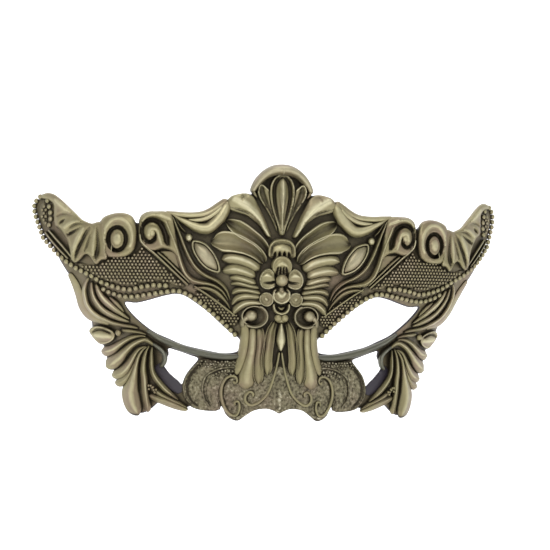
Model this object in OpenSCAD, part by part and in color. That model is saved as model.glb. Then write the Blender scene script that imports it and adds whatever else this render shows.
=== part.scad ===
// Venetian half mask: a thin curved shell with cast leaf, scroll and bead ornaments on its front.
// The front faces -Y and +Z is up. The origin lies on the back of the nose bridge.
// Left and right are the wearer's own, so the wearer's left is +X.
// Ornaments are drawn flat, as across (x), up (z) and height (h), on a front 200 mm wide,
// and then follow the shell: h is how far a point stands forward of the shell's front.

/* [Overall size] */
// Width across the two wing tips
mask_w = 200; // [180:1:220]
// Wall of the shell
shell_t = 2.2; // [1.6:0.1:3]
// How far the wings sweep back, 1 as drawn
wing_sweep = 1; // [0.7:0.05:1.2]
// How far the cheeks sweep back, 1 as drawn
cheek_sweep = 1; // [0.7:0.05:1.2]
// How far the nose stands out, 1 as drawn
nose_swell = 1; // [0.6:0.05:1.3]

/* [Ornament] */
// Height of every leaf, scroll and dome, 1 as drawn
relief = 1; // [0.6:0.05:1.3]
// Radius of the large beads along the lid
bead_r = 1.12; // [0.8:0.02:1.14]
// Spacing of the large beads
bead_pitch = 2.3; // [2.3:0.05:3]
// Thickness of the dotted pads and plates
pad_t = 0.6; // [0.4:0.1:1]

/* [Strap lugs] */
// Radius of the hole for the strap
strap_r = 2; // [1.5:0.1:2.2]
// Radius of the round boss about the hole
boss_r = 3.8; // [3.4:0.1:4.5]
// Height of each lug
lug_h = 8; // [6:0.5:12]
// Distance from the shell's back to the middle of the hole
lug_reach = 6.5; // [6:0.1:9]
// Across position of the lugs
lug_x = 86; // [82:0.5:88]
// Up position of the lugs
lug_z = 20; // [16:0.5:24]

/* [Hidden] */
$fn = 32;
drawn_w = 200;
k = mask_w / drawn_w;
seat = 0.5; // how far every ornament sinks into the shell
brass = "#8f8762";
pale_brass = "#a59c78";
dark_brass = "#6b6347";
grey_green = "#7c7f6c";
bare_black = "#211b24";

SIDES = ["left", "right"];
MIDDLE = [
    "face_shell", "crest_hood", "crest_palmette", "clasp_upper", "clasp_lower", "flower_petals",
    "flower_bead", "calyx_cup", "calyx_knot", "drop_bead", "nose_plate"
];
PAIRED = [
    "fan", "nose_scroll", "nose_tassels", "nose_filigree", "nose_c_scroll", "cheek_disc",
    "cheek_medallion", "eye_rim", "brow_drape", "brow_scroll", "gem", "gem_bezel", "wing_scroll",
    "wing_leaf", "wing_tip_pad", "lid_pad", "brow_pad", "bead_rows", "cheek_fan", "cheek_leaf",
    "cheek_curl", "strap_lug"
];

// ---- The shell's surface ----

function smooth(a, b, t) = let (u = min(max((t - a) / (b - a), 0), 1)) u * u * (3 - 2 * u);
function bridge(z) = -shell_t / k + 0.06 * z + 0.0005 * z * z;
function wing(x) = wing_sweep * (0.0022 * pow(x, 2) + 2.9e-7 * pow(x, 4));
function low(z) = smooth(12, -28, z);
function cheek(x, z) = cheek_sweep * 0.0048 * low(z) * x * x;
function nose(x, z) = nose_swell * 6 * low(z) * (1 - exp(-pow(x / 15, 2)));
// The shell's front surface, as a depth along +Y
function front(x, z) = bridge(z) + wing(x) + cheek(x, z) + nose(x, z);
function slope_x(x, z) = (front(x + 0.5, z) - front(x - 0.5, z));
function slope_z(x, z) = (front(x, z + 0.5) - front(x, z - 0.5));
// How far back the wall reaches, so that it stays shell_t thick where it slopes
function wall(x, z) = shell_t / k * sqrt(1 + pow(slope_x(x, z), 2) + pow(slope_z(x, z), 2));
function on_front(x, z, h) = k * [x, front(x, z) - h, z];

// ---- Curves and sections ----

// The smooth curve between b and c, led in by a and out by d
function blend(a, b, c, d, t) =
    0.5 * (2 * b + (c - a) * t + (2 * a - 5 * b + 4 * c - d) * t * t + (3 * b - a - 3 * c + d) * t * t * t);
function curve(p, steps) =
    let (n = len(p) - 1)
    [
        for (i = [0:n - 1], j = [0:steps - 1])
            blend(p[max(i - 1, 0)], p[i], p[i + 1], p[min(i + 2, n)], j / steps),
        p[n]
    ];
// The same through a loop of points that closes on itself
function loop(p, steps) =
    let (n = len(p))
    [
        for (i = [0:n - 1], j = [0:steps - 1])
            blend(p[(i + n - 1) % n], p[i], p[(i + 1) % n], p[(i + 2) % n], j / steps)
    ];
function mirrored(p) = [for (i = [len(p) - 1:-1:0]) [-p[i][0], p[i][1]]];
function oval(x, z, rx, rz, n) =
    [for (i = [0:n - 1]) [x + rx * cos(360 * i / n), z + rz * sin(360 * i / n)]];
// A wire bent round an oval, open by a small gap at its lower inner side, as points for a strip
function ring(x, z, rx, rz, w, h, n, gap = 16) =
    [
        for (i = [0:n])
            let (a = 205 + gap / 2 + (360 - gap) * i / n)
            [x + rx * cos(a), z + rz * sin(a), w, h]
    ];

// Sections from one edge to the other, as [share of the half width, share of the height], -1 in the shell
RIDGE = [[-1, -1], [-0.6, 0.8], [0, 1], [0.6, 0.8], [1, -1]];
GUTTER = [[-1, -1], [-0.72, 1], [0, 0.45], [0.72, 1], [1, -1]];
WIRE = [[-1, -1], [-0.8, 0.7], [0, 1], [0.8, 0.7], [1, -1]];
// A thinner wire, flat along its top
FINE = [[-1, -1], [-0.55, 1], [0.55, 1], [1, -1]];
// What a hollow takes away, from a plate's top down to a low point in the middle
HOLLOW = [[1, 1], [0, 0.25], [-1, 1]];

function across(a, b) = let (t = [b[0] - a[0], b[1] - a[1]]) [-t[1], t[0]] / norm(t);
function height(v, h) = v < 0 ? v * seat : v * h * relief;

// One leaf, scroll or wire: the section swept along [x, z, width, height] points
module strip(points, section, steps = 1) {
    p = curve(points, steps);
    n = len(p) - 1;
    m = len(section);
    rings = [
        for (i = [0:n])
            let (side = across(p[max(i - 1, 0)], p[min(i + 1, n)]))
            for (s = section)
                let (x = p[i][0] + side[0] * s[0] * p[i][2] / 2, z = p[i][1] + side[1] * s[0] * p[i][2] / 2)
                on_front(x, z, height(s[1], p[i][3]))
    ];
    walls = [
        for (i = [0:n - 1], j = [0:m - 1])
            let (a = i * m + j, b = i * m + (j + 1) % m)
            each [[a, b, b + m], [a, b + m, a + m]]
    ];
    // Both ends close on the middle point of the section
    mid = floor(m / 2);
    ends = [
        for (j = [mid + 1:mid + m - 2])
            each [
                [mid, (j + 1) % m, j % m],
                [n * m + mid, n * m + j % m, n * m + (j + 1) % m]
            ]
    ];
    polyhedron(rings, concat(walls, ends));
}

// A rounded boss on an outline of [x, z] points about its middle
DOME = [[1, -1], [1, 0.25], [0.88, 0.62], [0.55, 0.92]];
module dome(outline, x, z, h, profile = DOME) {
    n = len(outline);
    m = len(profile);
    points = concat(
        [
            for (s = profile, p = outline)
                on_front(x + (p[0] - x) * s[0], z + (p[1] - z) * s[0], height(s[1], h))
        ],
        [on_front(x, z, h * relief), on_front(x, z, -seat)]
    );
    walls = [
        for (i = [0:m - 2], j = [0:n - 1])
            let (a = i * n + j, b = i * n + (j + 1) % n)
            each [[a, a + n, b + n], [a, b + n, b]]
    ];
    top = [for (j = [0:n - 1]) [(m - 1) * n + j, m * n, (m - 1) * n + (j + 1) % n]];
    foot = [for (j = [0:n - 1]) [j, (j + 1) % n, m * n + 1]];
    polyhedron(points, concat(walls, top, foot));
}

// A slab that follows the shell over a box of x and z, from height h0 up to h1
module slab(x0, x1, z0, z1, cell, h1, h0 = undef) {
    nx = ceil((x1 - x0) / cell);
    nz = ceil((z1 - z0) / cell);
    grid = [for (i = [0:nx], j = [0:nz]) [x0 + (x1 - x0) * i / nx, z0 + (z1 - z0) * j / nz]];
    count = len(grid);
    points = concat(
        [for (g = grid) on_front(g[0], g[1], h1)],
        [for (g = grid) on_front(g[0], g[1], is_undef(h0) ? -wall(g[0], g[1]) : h0)]
    );
    function at(i, j) = i * (nz + 1) + j;
    function wall_faces(a, b) = [[a, b, b + count], [a, b + count, a + count]];
    faces = concat(
        [for (i = [0:nx - 1], j = [0:nz - 1])
            let (a = at(i, j), b = at(i + 1, j), c = at(i + 1, j + 1), d = at(i, j + 1))
            each [
                [a, c, b],
                [a, d, c],
                [a + count, b + count, c + count],
                [a + count, c + count, d + count]
            ]],
        [for (i = [0:nx - 1]) each wall_faces(at(i, 0), at(i + 1, 0))],
        [for (i = [0:nx - 1]) each wall_faces(at(i + 1, nz), at(i, nz))],
        [for (j = [0:nz - 1]) each wall_faces(at(0, j + 1), at(0, j))],
        [for (j = [0:nz - 1]) each wall_faces(at(nx, j), at(nx, j + 1))]
    );
    polyhedron(points, faces);
}

// Everything inside a flat outline, right through the mask
module through() {
    depth = 200;
    rotate([90, 0, 0])
        translate([0, 0, -depth / 2])
            linear_extrude(depth)
                scale(k)
                    children();
}

// One casting: its overlapping leaves become a single skin at their own size
module casting() {
    resize([0, 0, 0])
        union() children();
}

// A thin plate that follows the shell inside an outline
module plate(outline, cell, h) {
    xs = [for (p = outline) p[0]];
    zs = [for (p = outline) p[1]];
    resize([0, 0, 0])
        intersection() {
            slab(min(xs) - 1, max(xs) + 1, min(zs) - 1, max(zs) + 1, cell, h, -seat);
            through() polygon(outline);
        }
}

// The same line of [x, z, width, height] points, standing on a plate of a given height
function on_plate(line, h) = [for (p = line) [p[0], p[1], p[2], p[3] + h]];
// Points on the left and their mirror images, so that a line or outline crosses the middle
function reflected(p) = [
    for (i = [len(p) - 1:-1:0])
        concat([-p[i][0]], [for (j = [1:len(p[i]) - 1]) p[i][j]])
];
function both(p) = concat(p, reflected([for (i = [0:len(p) - 1]) if (p[i][0] != 0) p[i]]));

// ---- Outlines ----

// The shell's edge from the crest round the wing tip to the nose, on the left side
SHELL_EDGE = [
    [0, 48.6], [5, 47.6], [8.6, 44.6], [10.6, 40.4], [13, 37.4], [18.6, 36.4], [24.5, 32.6], [30.5, 29.4],
    [36, 29], [45, 29.6], [52, 29.2], [56.6, 25.6], [60.4, 28.2], [65, 28.6], [70, 27.2], [75.3, 24.8],
    [79, 26.2], [84, 30.8], [90.6, 36.8], [95.6, 36.8], [98.8, 33.6], [97.8, 29], [96, 24], [94, 19.6],
    [90.6, 15.6], [87.6, 9.8], [84, 4.2], [81.6, 0], [80, -5], [77.8, -9.6], [74.6, -13.6], [73.4, -20],
    [70.4, -23.6], [68.4, -26.6], [67.4, -31], [65.4, -33.8], [63.6, -37.6], [62.6, -40.4], [60, -42],
    [59.6, -45.6], [57, -50], [54, -52], [50.4, -50.6], [45, -45.9], [40.6, -47.2], [36.2, -48.3],
    [31.8, -47.2], [27, -48], [22.4, -47.2], [20.4, -49.4], [17.6, -51.2], [14.6, -50.4], [10.4, -47.4],
    [5, -46.3], [0, -47.8]
];
EYE = [
    [61, -6.6], [56.5, -6.6], [51.3, -5.2], [46, -3.5], [41.5, -2.6], [37.9, -3.2], [34, -5.5],
    [28, -9.8], [24.5, -13], [19.5, -17.5], [16, -19.8], [14.8, -22.8], [16.8, -25.3], [22, -26],
    [27.2, -25.3], [32.4, -24.3], [37.6, -23.1], [43.1, -20.9], [48.7, -18.5], [53.6, -15.1],
    [58.3, -10.8]
];
CHEEK_GAP = [
    [31.6, -28.6], [35, -27.2], [40, -25.6], [43.2, -25], [43.1, -27.5], [45.2, -31.9], [42.5, -35.2],
    [40.4, -37.3], [37.8, -39.2], [36.8, -36.7], [35.3, -33.9], [33.5, -31.4]
];
NOSE_PLATE = [
    [0, -30], [7, -31], [13, -34.6], [17, -34.6], [20.4, -36.4], [22.2, -40], [22.3, -45], [20.9, -49.9],
    [18.6, -52.1], [15.8, -52.7], [13.1, -50.7], [9.5, -48.2], [5, -47.5], [2, -48.3], [0, -49.3]
];
CHEEK_DISC = [
    [16, -28.4], [23, -29], [30, -28.3], [33.5, -31.6], [36, -35.2], [37.5, -39.7], [37.4, -43],
    [35.9, -46.2], [33.6, -48.3], [29.1, -49.3], [22.8, -48.6], [22.3, -42], [20.6, -36.6], [16.4, -32.6]
];
CHEEK_MEDALLION = [
    [18, -32.2], [21, -31.6], [24.6, -32.6], [27.4, -34.6], [29, -37.2], [29.6, -41], [29, -44.2],
    [26.4, -47.8], [23.2, -47.6], [23, -42], [21.2, -36.6]
];
GEM = [
    [34.8, 18.6], [31, 17.7], [28.4, 15.3], [26.4, 12.4], [25.1, 9.2], [25, 6.8], [27.2, 7], [30.1, 8.4],
    [32.7, 11], [34.8, 14.5], [35.4, 17]
];
BROW_PAD = [
    [80.2, 9.6], [74, 8.2], [70, 10.4], [65, 12.4], [60.3, 12.3], [57.2, 14.2], [55.2, 16.4],
    [51.8, 13.6], [44, 6.6], [37.6, 0.6], [42, 0.8], [47.5, 2.4], [54.9, 1.2], [60, 0.6], [66.7, 1.4],
    [73, 3.6], [80.4, 7.6]
];
LID_PAD = [
    [33, -1], [27.3, -3.7], [24.7, -3.9], [22.3, -6.2], [19.7, -8.5], [16.8, -10], [16, -12.8],
    [17, -14.6], [19.7, -15], [24, -11], [28.6, -7.4], [33.6, -3.6]
];
WING_TIP_PAD = [
    [94.2, 35.4], [96.6, 33], [96.8, 29.4], [95.2, 25.4], [93.6, 24.4], [93.2, 28], [93.6, 32]
];

// ---- Leaves, scrolls and wires: [x, z, width, height], root first, on the left side ----

HOOD = [
    [-12, 38.4, 2.2, 3], [-10.8, 41, 3, 4.2], [-9, 43.6, 3.6, 5.2], [-6.4, 46, 4, 6.2],
    [-3.2, 47.5, 4.6, 6.9], [0, 47.8, 4.9, 7.1], [3.2, 47.5, 4.6, 6.9], [6.4, 46, 4, 6.2],
    [9, 43.6, 3.6, 5.2], [10.8, 41, 3, 4.2], [12, 38.4, 2.2, 3]
];

// The petals of the crest: half the middle one, and the left one, with a raised rim each
PALM_OUTLINE = [
    [0.9, 21.6], [1.6, 24.4], [2.6, 27.2], [3.9, 31], [4.9, 35], [5.3, 39], [4.7, 42.6], [3.1, 45.4],
    [0, 46.8]
];
PALM_RIM = [
    [0.6, 21.8, 1, 0.6], [1.7, 26, 1.1, 1.2], [3.1, 30.6, 1.2, 1.5], [4.2, 35, 1.3, 1.6],
    [4.6, 39, 1.3, 1.6], [4.1, 42.4, 1.3, 1.5], [2.6, 44.9, 1.3, 1.4], [0, 46, 1.3, 1.2]
];
SIDE_OUTLINE = [
    [2.1, 23.4], [2.6, 24.6], [4.2, 28], [6, 31.2], [7.8, 33.8], [9.4, 36.4], [10.3, 39], [10, 41.4],
    [8.8, 42.4], [7.2, 41.6], [5.6, 40.2], [4.8, 38], [4.4, 35], [3.4, 31], [2.2, 27], [1.5, 23.2]
];
SIDE_RIM = [
    [2.3, 24.2, 0.9, 0.8], [3.4, 27, 1.1, 1.4], [5.4, 30.8, 1.1, 1.6], [7.2, 33.6, 1.2, 1.7],
    [8.8, 36.2, 1.2, 1.8], [9.6, 38.8, 1.2, 1.8], [9.2, 41, 1.2, 1.8], [8.4, 41.7, 1.2, 1.8],
    [7, 40.8, 1.1, 1.7], [5.4, 39.3, 1, 1.4]
];

FAN_TOP = [
    [4.2, 20.8], [5.2, 24], [7, 28.6], [9.2, 33.2], [11.4, 37.2], [14.6, 38.3], [18, 37.8], [20.5, 36.8],
    [22.2, 34.4], [21.4, 31.6], [17.4, 30.2], [13.8, 29], [10.4, 26.6], [8, 23.4], [6.2, 20.6]
];
// Crests stand on a plate, so their heights are above it
FAN_CREST = [
    [5, 21, 2, 0.8], [7.5, 24.6, 4.4, 1.7], [10, 28.7, 6, 2.1], [13.6, 32.6, 7, 2.2], [19.2, 35.8, 5, 1.4]
];
FAN_RIDGES = [
    [
        [8.6, 7.6, 3.96, 2.6], [11.8, 10, 4.75, 3.2], [14.6, 11.3, 5.02, 3.4], [18, 12.2, 4.88, 3.4],
        [21, 12.3, 4.22, 3.2], [24, 11.4, 1.85, 2.4]
    ],
    [
        [10.2, 4.8, 3.54, 2.6], [12.8, 6.2, 4.08, 3.2], [16, 7.3, 4.22, 3.4], [19.4, 7.8, 3.81, 3.2],
        [23.6, 7.2, 1.63, 2.2]
    ],
    [
        [9.8, 2, 2.6, 2.4], [12.2, 2.9, 3.12, 3], [15, 3.8, 3.25, 3.2], [18, 4.5, 2.73, 2.8],
        [20.4, 4.4, 1.17, 2]
    ],
    [
        [8.6, 0.4, 2, 2.4], [12, 1, 2.62, 2.9], [15, 1.8, 2.62, 3], [17.6, 2.3, 2.12, 2.6],
        [20, 1.8, 1, 1.8]
    ],
    [
        [8, -1.8, 2.1, 2.6], [11, -1, 2.45, 3], [14.4, -0.5, 2.45, 3.1], [17.6, -0.8, 2.27, 2.8],
        [19.6, -2.2, 1.4, 2]
    ],
    [
        [7.8, -3.4, 2.64, 2.4], [11, -3, 3.36, 2.9], [14.6, -2.9, 3.48, 3.1], [17.4, -4, 2.88, 2.8],
        [19.4, -6.6, 1.2, 2]
    ],
    [
        [7, -5.9, 2.08, 2.8], [10.8, -5.4, 2.88, 3.2], [14.4, -5.9, 3.36, 3.2], [17.2, -7.8, 2.88, 3],
        [18.8, -10.4, 1.6, 2]
    ]
];
FAN_GUTTERS = [
    [
        [5.8, 14.4, 4.03, 2.8], [7.8, 17.2, 4.93, 3.4], [10, 19.4, 5.38, 3.8], [12.8, 21.3, 6.05, 4],
        [15.6, 23, 6.72, 4], [18.4, 24.7, 6.27, 3.8], [21.2, 26.3, 3.58, 3], [22.4, 26.8, 1.57, 2.2]
    ],
    [
        [6.8, 10.4, 3.48, 2.6], [8.6, 13, 4.87, 3.2], [11, 15, 5.8, 3.6], [14, 16.6, 6.73, 3.8],
        [17.2, 17.8, 7.89, 3.8], [20.4, 18.6, 8.82, 3.6], [24, 18.8, 8.58, 3.2], [26.8, 18.6, 5.1, 2.6],
        [28.2, 19, 1.86, 2]
    ]
];

TASSELS = [
    [
        [2.4, -12.6, 1.95, 2.4], [3.9, -16.3, 3.62, 3], [4.5, -20, 4.18, 3.2], [5.1, -24, 4.45, 3.2],
        [5.5, -28, 4.73, 3], [5.3, -31.4, 4.45, 2.6], [5, -34.6, 1.11, 1.4]
    ],
    [
        [8.2, -37.9, 1.76, 1.8], [8.5, -35, 4.11, 2.6], [8.7, -31, 4.41, 2.8], [8.6, -27, 4.11, 3],
        [8.2, -23, 4.11, 3.2], [8.2, -19, 4.11, 3], [8.8, -14.8, 3.52, 2.4]
    ],
    [
        [11, -14.6, 3.24, 2.4], [10.9, -19, 3.79, 2.9], [11, -23, 3.92, 3], [11.6, -27, 4.33, 3],
        [12.4, -31, 5.14, 3], [13, -35, 6.49, 3], [13, -38.6, 6.76, 2.6], [12.8, -40.2, 4.06, 1.8]
    ],
    [
        [13.8, -13.4, 3.52, 2.2], [13.6, -18, 3.96, 2.6], [13.8, -22, 3.96, 2.6], [14.4, -26, 3.96, 2.6],
        [15.4, -29.5, 3.96, 2.4], [16.4, -32.6, 3.52, 2.2], [16.9, -34.8, 1.32, 1.4]
    ]
];
FILIGREE = [
    [
        [0.5, -24.6, 1.22, 2], [1, -28, 1.35, 2], [1.9, -32.6, 1.35, 2], [3.4, -37.8, 1.49, 2],
        [5, -41.6, 1.49, 2], [8, -44.8, 1.62, 2.1], [11, -46.2, 1.62, 2.1], [13, -45, 1.62, 2.1],
        [13.2, -42.6, 1.62, 2.1], [11.7, -40.9, 1.49, 2.1], [10.3, -41.6, 1.49, 2.1],
        [10.5, -43, 1.35, 2.1]
    ]
];
C_SCROLL = [
    [17.9, -36.6, 1.25, 2.2], [17.4, -37.7, 1.38, 2.2], [16.5, -36.8, 1.38, 2.2], [17, -35.3, 1.5, 2.2],
    [18.8, -34.9, 1.5, 2.2], [20.8, -36, 1.62, 2.2], [22.2, -38.6, 1.75, 2.3], [22.6, -42, 1.75, 2.3],
    [21.9, -45.6, 1.75, 2.3], [20.3, -48.8, 1.62, 2.2], [18.2, -50.6, 1.5, 2.2], [16.4, -50.2, 1.5, 2.2],
    [15.4, -47.6, 1.5, 2.2], [15.8, -45.2, 1.5, 2.2], [17.1, -45.2, 1.38, 2.2], [17.2, -46.8, 1.25, 2.2]
];
EYE_RIM = [
    [15.4, -26.9, 1.6, 1.8], [19, -27.4, 2.6, 2.2], [25, -27.2, 2.8, 2.4], [31, -26.2, 2.8, 2.4],
    [37, -24.8, 2.8, 2.4], [43, -22.7, 2.6, 2.4], [47.6, -20.6, 2.2, 2.2], [52, -17.8, 1.4, 1.8]
];
DISC_RIM = [
    [30.4, -29.2, 1, 1.4], [33, -31.8, 1.1, 1.6], [35.6, -35.2, 1.2, 1.8], [37, -39.2, 1.2, 1.8],
    [36.9, -42.6, 1.2, 1.8], [35.5, -45.6, 1.2, 1.8], [32.8, -47.9, 1, 1.4]
];
MEDALLION_RIM = [
    [16.8, -31.6, 1.12, 2], [20.2, -31.5, 1.38, 2.1], [23.3, -32.2, 1.38, 2.1], [26, -33.4, 1.38, 2.1],
    [28.4, -35.2, 1.38, 2.1], [29.6, -38, 1.38, 2.1], [29.8, -41.4, 1.38, 2.1], [29, -44.6, 1.38, 2.1],
    [26.6, -47.8, 1.25, 1.8]
];

DRAPE = [
    [
        [46.4, 29.8, 1.8, 2.6], [42, 29.2, 2.6, 3], [38, 28.8, 2.9, 3.2], [34, 28.9, 3, 3.2],
        [31, 29.4, 3.2, 3.2], [28, 30.7, 3.4, 3], [25, 32.7, 3.6, 2.8], [21.6, 35.4, 3, 2.2]
    ],
    [
        [37.6, 27.2, 1.2, 3], [34.4, 27, 2.6, 3.4], [31.4, 27.4, 3, 3.6], [28.8, 28.5, 3.2, 3.6],
        [26.2, 30.4, 3.2, 3.4], [23.6, 33, 2.6, 3]
    ],
    [
        [44, 29.4, 1.2, 2.6], [41, 27.7, 2.4, 3], [38, 26.2, 3.2, 3.6], [35, 24.8, 4.2, 4],
        [32, 23.9, 4.8, 4.4], [29.2, 24.2, 5.4, 4.4], [26.6, 26.4, 5.6, 4.2], [24.2, 29.4, 5.6, 3.8],
        [22.4, 32.8, 4.8, 3.2], [21.6, 35, 2.6, 2.4]
    ]
];
BROW_OUTLINE = [
    [56.5, 26.4], [55.5, 28.9], [53, 30.3], [49.6, 30.5], [45.8, 30.4], [43.2, 29], [42.2, 24.4],
    [41, 17.4], [40.2, 12.6], [41.6, 12.2], [43.4, 14.4], [46.8, 15.4], [50, 14.4], [52.6, 14.8],
    [55.2, 17.4], [56.7, 21.6]
];
// The hollow that winds in to the ball of the brow scroll
BROW_HOLLOW = [
    [50.3, 21.2, 1.32, 4.4], [51.2, 18.3, 1.98, 4.4], [54.6, 19.6, 2.09, 4.4], [54.7, 24.8, 2.2, 4.4],
    [50.9, 26.9, 2.42, 4.4], [46.8, 23.8, 3.52, 4.4], [45.4, 18.4, 2.86, 4.4], [44.6, 16.4, 1.1, 4.4]
];
BROW_CREST = [
    [44, 27, 2, 1.2], [47, 28, 2.4, 1.6], [50, 29, 2.4, 1.6], [53.4, 28.4, 2.2, 1.4],
    [55.8, 25.6, 1.4, 0.8]
];
BROW_BANDS = [
    [
        [46.4, 27.4, 2.73, 3.6], [45.2, 24.2, 2.94, 4.2], [43.8, 21, 2.94, 4.2], [42.4, 17.6, 2.73, 4],
        [41.2, 14, 2.73, 3.8], [40.3, 11, 2.73, 3.6], [39.2, 8, 2.73, 3.4], [37.8, 5.4, 2.62, 3.2],
        [35.4, 3.2, 2.62, 3], [32.2, 2.2, 2.52, 3], [29, 1.8, 2.31, 3], [26, 0.8, 2.31, 2.8],
        [23, -1.4, 1.89, 2.4], [20.8, -4.8, 0.95, 1.8]
    ],
    [
        [43.6, 28.6, 1.5, 3], [42.2, 25.4, 1.75, 3.4], [40.8, 22, 1.88, 3.4], [39.4, 18.4, 2.12, 3.4],
        [38, 15, 2.25, 3.3], [36.2, 11.4, 2.25, 3.2], [34.4, 8.7, 2.25, 3.1], [32.2, 6.6, 2.25, 3],
        [29.6, 4.9, 2.25, 3], [26.6, 3.5, 2.12, 2.8], [24, 1.8, 2, 2.6], [21.6, -0.8, 1.75, 2.4],
        [20, -4.4, 1.12, 1.8]
    ],
    [
        [34.6, -0.1, 1.2, 1.8], [30.6, 0.2, 2.4, 2.6], [27, -0.6, 2.64, 2.8], [24, -2.6, 2.4, 2.6],
        [21.2, -5.8, 1.56, 2], [19.8, -8.4, 0.96, 1.4]
    ],
    [
        [43, 29, 0.88, 2.6], [41, 25.6, 1.1, 2.8], [39.8, 23.8, 1.32, 2.8], [38, 22, 0.99, 2.2]
    ]
];
BROW_WIRES = [
    [
        [56.2, 21.4, 1.18, 3.3], [55.6, 18.4, 1.31, 3.1], [50.6, 13.8, 1.18, 2.7],
        [46, 9.6, 1.05, 2.5], [41, 5, 1.05, 2.4], [36.6, 1, 1.05, 2.2]
    ],
    [
        [49.4, 14.2, 1.05, 2.4], [43, 8.6, 1.05, 2.5], [36, 2, 1.05, 2.2]
    ],
    [
        [34.4, 0.9, 0.92, 2.1], [28, -3.3, 1.05, 2.3], [21.6, -7.9, 1.05, 2.2],
        [17.6, -10.9, 0.92, 2]
    ]
];
BROW_PLATE = [
    [48.6, 14.6], [45.4, 14.8], [42.6, 14.4], [40.6, 11.4], [39.4, 7.4], [41.4, 7.6], [45, 11]
];

WING_VOLUTE = [
    [58, 15.2], [57.1, 19], [57.3, 24], [58.8, 27.9], [61.6, 29.5], [65, 29.7], [68.6, 28.9], [71.4, 27],
    [71.8, 23], [71, 17], [69.6, 12.4], [66.4, 11.6], [62, 11.9], [59.4, 13.2]
];
WING_OUTLINE = [
    [97.4, 36.6], [94.6, 38.3], [91.2, 37.9], [87.6, 35.3], [85, 32.8], [82, 29.9], [79.2, 27.1],
    [77, 26], [75, 25.4], [72.4, 26.1], [69.6, 25], [69.6, 20], [68.6, 15.6], [68.6, 11.2], [71, 10.4],
    [73.2, 8.5], [75.4, 11.6], [77.4, 12.8], [79.4, 10.6], [81.8, 9.2], [83.6, 11.4], [84.2, 15],
    [85.6, 19.4], [88.2, 23.2], [90.4, 25], [90.8, 30], [91, 33.4], [93.4, 35.4]
];
WING_CRESTS = [
    [
        [69.2, 11, 1.4, 1.1], [69.9, 15, 1.8, 1.5], [70.2, 20, 1.8, 1.5], [69.6, 24.4, 1.2, 0.9]
    ],
    [
        [83, 12, 2, 0.9], [82, 16, 3, 1.4], [80.4, 20, 3.4, 1.5], [78.6, 23.4, 2.6, 1]
    ],
    [
        [74.4, 10.6, 1.4, 0.9], [74.6, 15, 2.2, 1.3], [74.2, 20, 2.2, 1.2], [73.8, 24, 1.4, 0.7]
    ],
    [
        [86.4, 23.6, 3, 1.2], [83, 25.8, 3, 1.4], [79.6, 26, 2, 0.9]
    ],
    [
        [90, 35, 4, 1.3], [86.4, 32, 5, 1.6], [82.6, 29, 4, 1.3], [79, 26.6, 2, 0.7]
    ]
];
WING_WIRES = [
    [
        [93, 22.8, 0.95, 2.9], [90, 19.4, 1.05, 2.7], [86.4, 15.4, 1.05, 2.6], [83, 11.4, 0.95, 2.3]
    ],
    [
        [94.4, 22, 0.84, 2.5], [91.4, 18.2, 0.95, 2.4], [87.8, 14.2, 0.95, 2.3], [84.4, 10.8, 0.84, 2.1]
    ]
];

CHEEK_FAN = [
    [
        [84, 5, 1.8, 1.19], [81.4, 0.6, 3.06, 1.53], [79.6, -4, 3.42, 1.7], [78, -9, 3.6, 1.87],
        [75.2, -12.6, 3.6, 2.04], [71.2, -14.6, 2.88, 2.04], [67, -16, 1.62, 1.7]
    ],
    [
        [75.8, 3.4, 1.32, 2.2], [77, 1, 1.98, 2.8], [77.6, -2, 2.42, 3.2], [77.2, -5, 2.53, 3.4],
        [76.2, -8.2, 2.64, 3.5], [74.2, -10.9, 2.64, 3.5], [71.6, -12.8, 2.64, 3.4],
        [68.8, -14.1, 2.64, 3.2], [65.6, -15.3, 2.42, 3], [62, -16, 2.2, 2.6], [58, -16.6, 1.76, 2.2],
        [55.4, -17.2, 0.99, 1.6]
    ],
    [
        [74.8, 1.6, 1.34, 2.2], [74.6, -1, 2.02, 2.8], [74.1, -3.6, 2.35, 3.2], [72.9, -6.2, 2.58, 3.3],
        [71.1, -8.6, 2.69, 3.3], [69, -10.5, 2.91, 3.2], [66.6, -11.9, 3.02, 3], [64, -13, 2.69, 2.7],
        [61.4, -13.9, 2.13, 2.3], [59, -14.6, 1.12, 1.7]
    ],
    [
        [73, 0.8, 1.73, 2.2], [72, -1.9, 2.59, 3], [70.6, -4.3, 3.13, 3.4], [69, -6.1, 3.46, 3.5],
        [67, -7.8, 3.35, 3.4], [65, -9.4, 3.02, 3.1], [62.8, -10.9, 2.38, 2.7], [60.8, -12.3, 1.73, 2.2],
        [59, -13.4, 0.86, 1.5]
    ],
    [
        [67.4, -4.4, 1.2, 2], [65.2, -6.6, 2.28, 2.3], [63, -8.8, 1.92, 2.1], [61.4, -10.6, 0.96, 1.5]
    ],
    [
        [62.2, -18.2, 1.32, 1.8], [60.6, -18.2, 1.98, 2.5], [58, -18.4, 2.09, 2.6],
        [55, -18.8, 1.65, 2.2], [52, -19.6, 0.88, 1.5]
    ]
];
POD = [
    [75.2, -19.6], [74, -17.6], [71.4, -16.7], [68.4, -17.2], [66, -18.2], [64.4, -19.8], [64.6, -21.8],
    [66.2, -23.6], [68.8, -24.8], [70.8, -24.6], [73, -22.8]
];
POD_CRESTS = [
    [
        [74.4, -19.4, 1, 0.6], [73, -17.6, 1.4, 1.1], [70.4, -17.3, 1.4, 1.2], [67.4, -18.3, 1.4, 1.3],
        [65.4, -19.4, 1.2, 1]
    ],
    [
        [73, -21, 3, 1], [69.6, -21, 4.4, 1.7], [66.6, -21.2, 3, 1.1]
    ]
];
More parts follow.
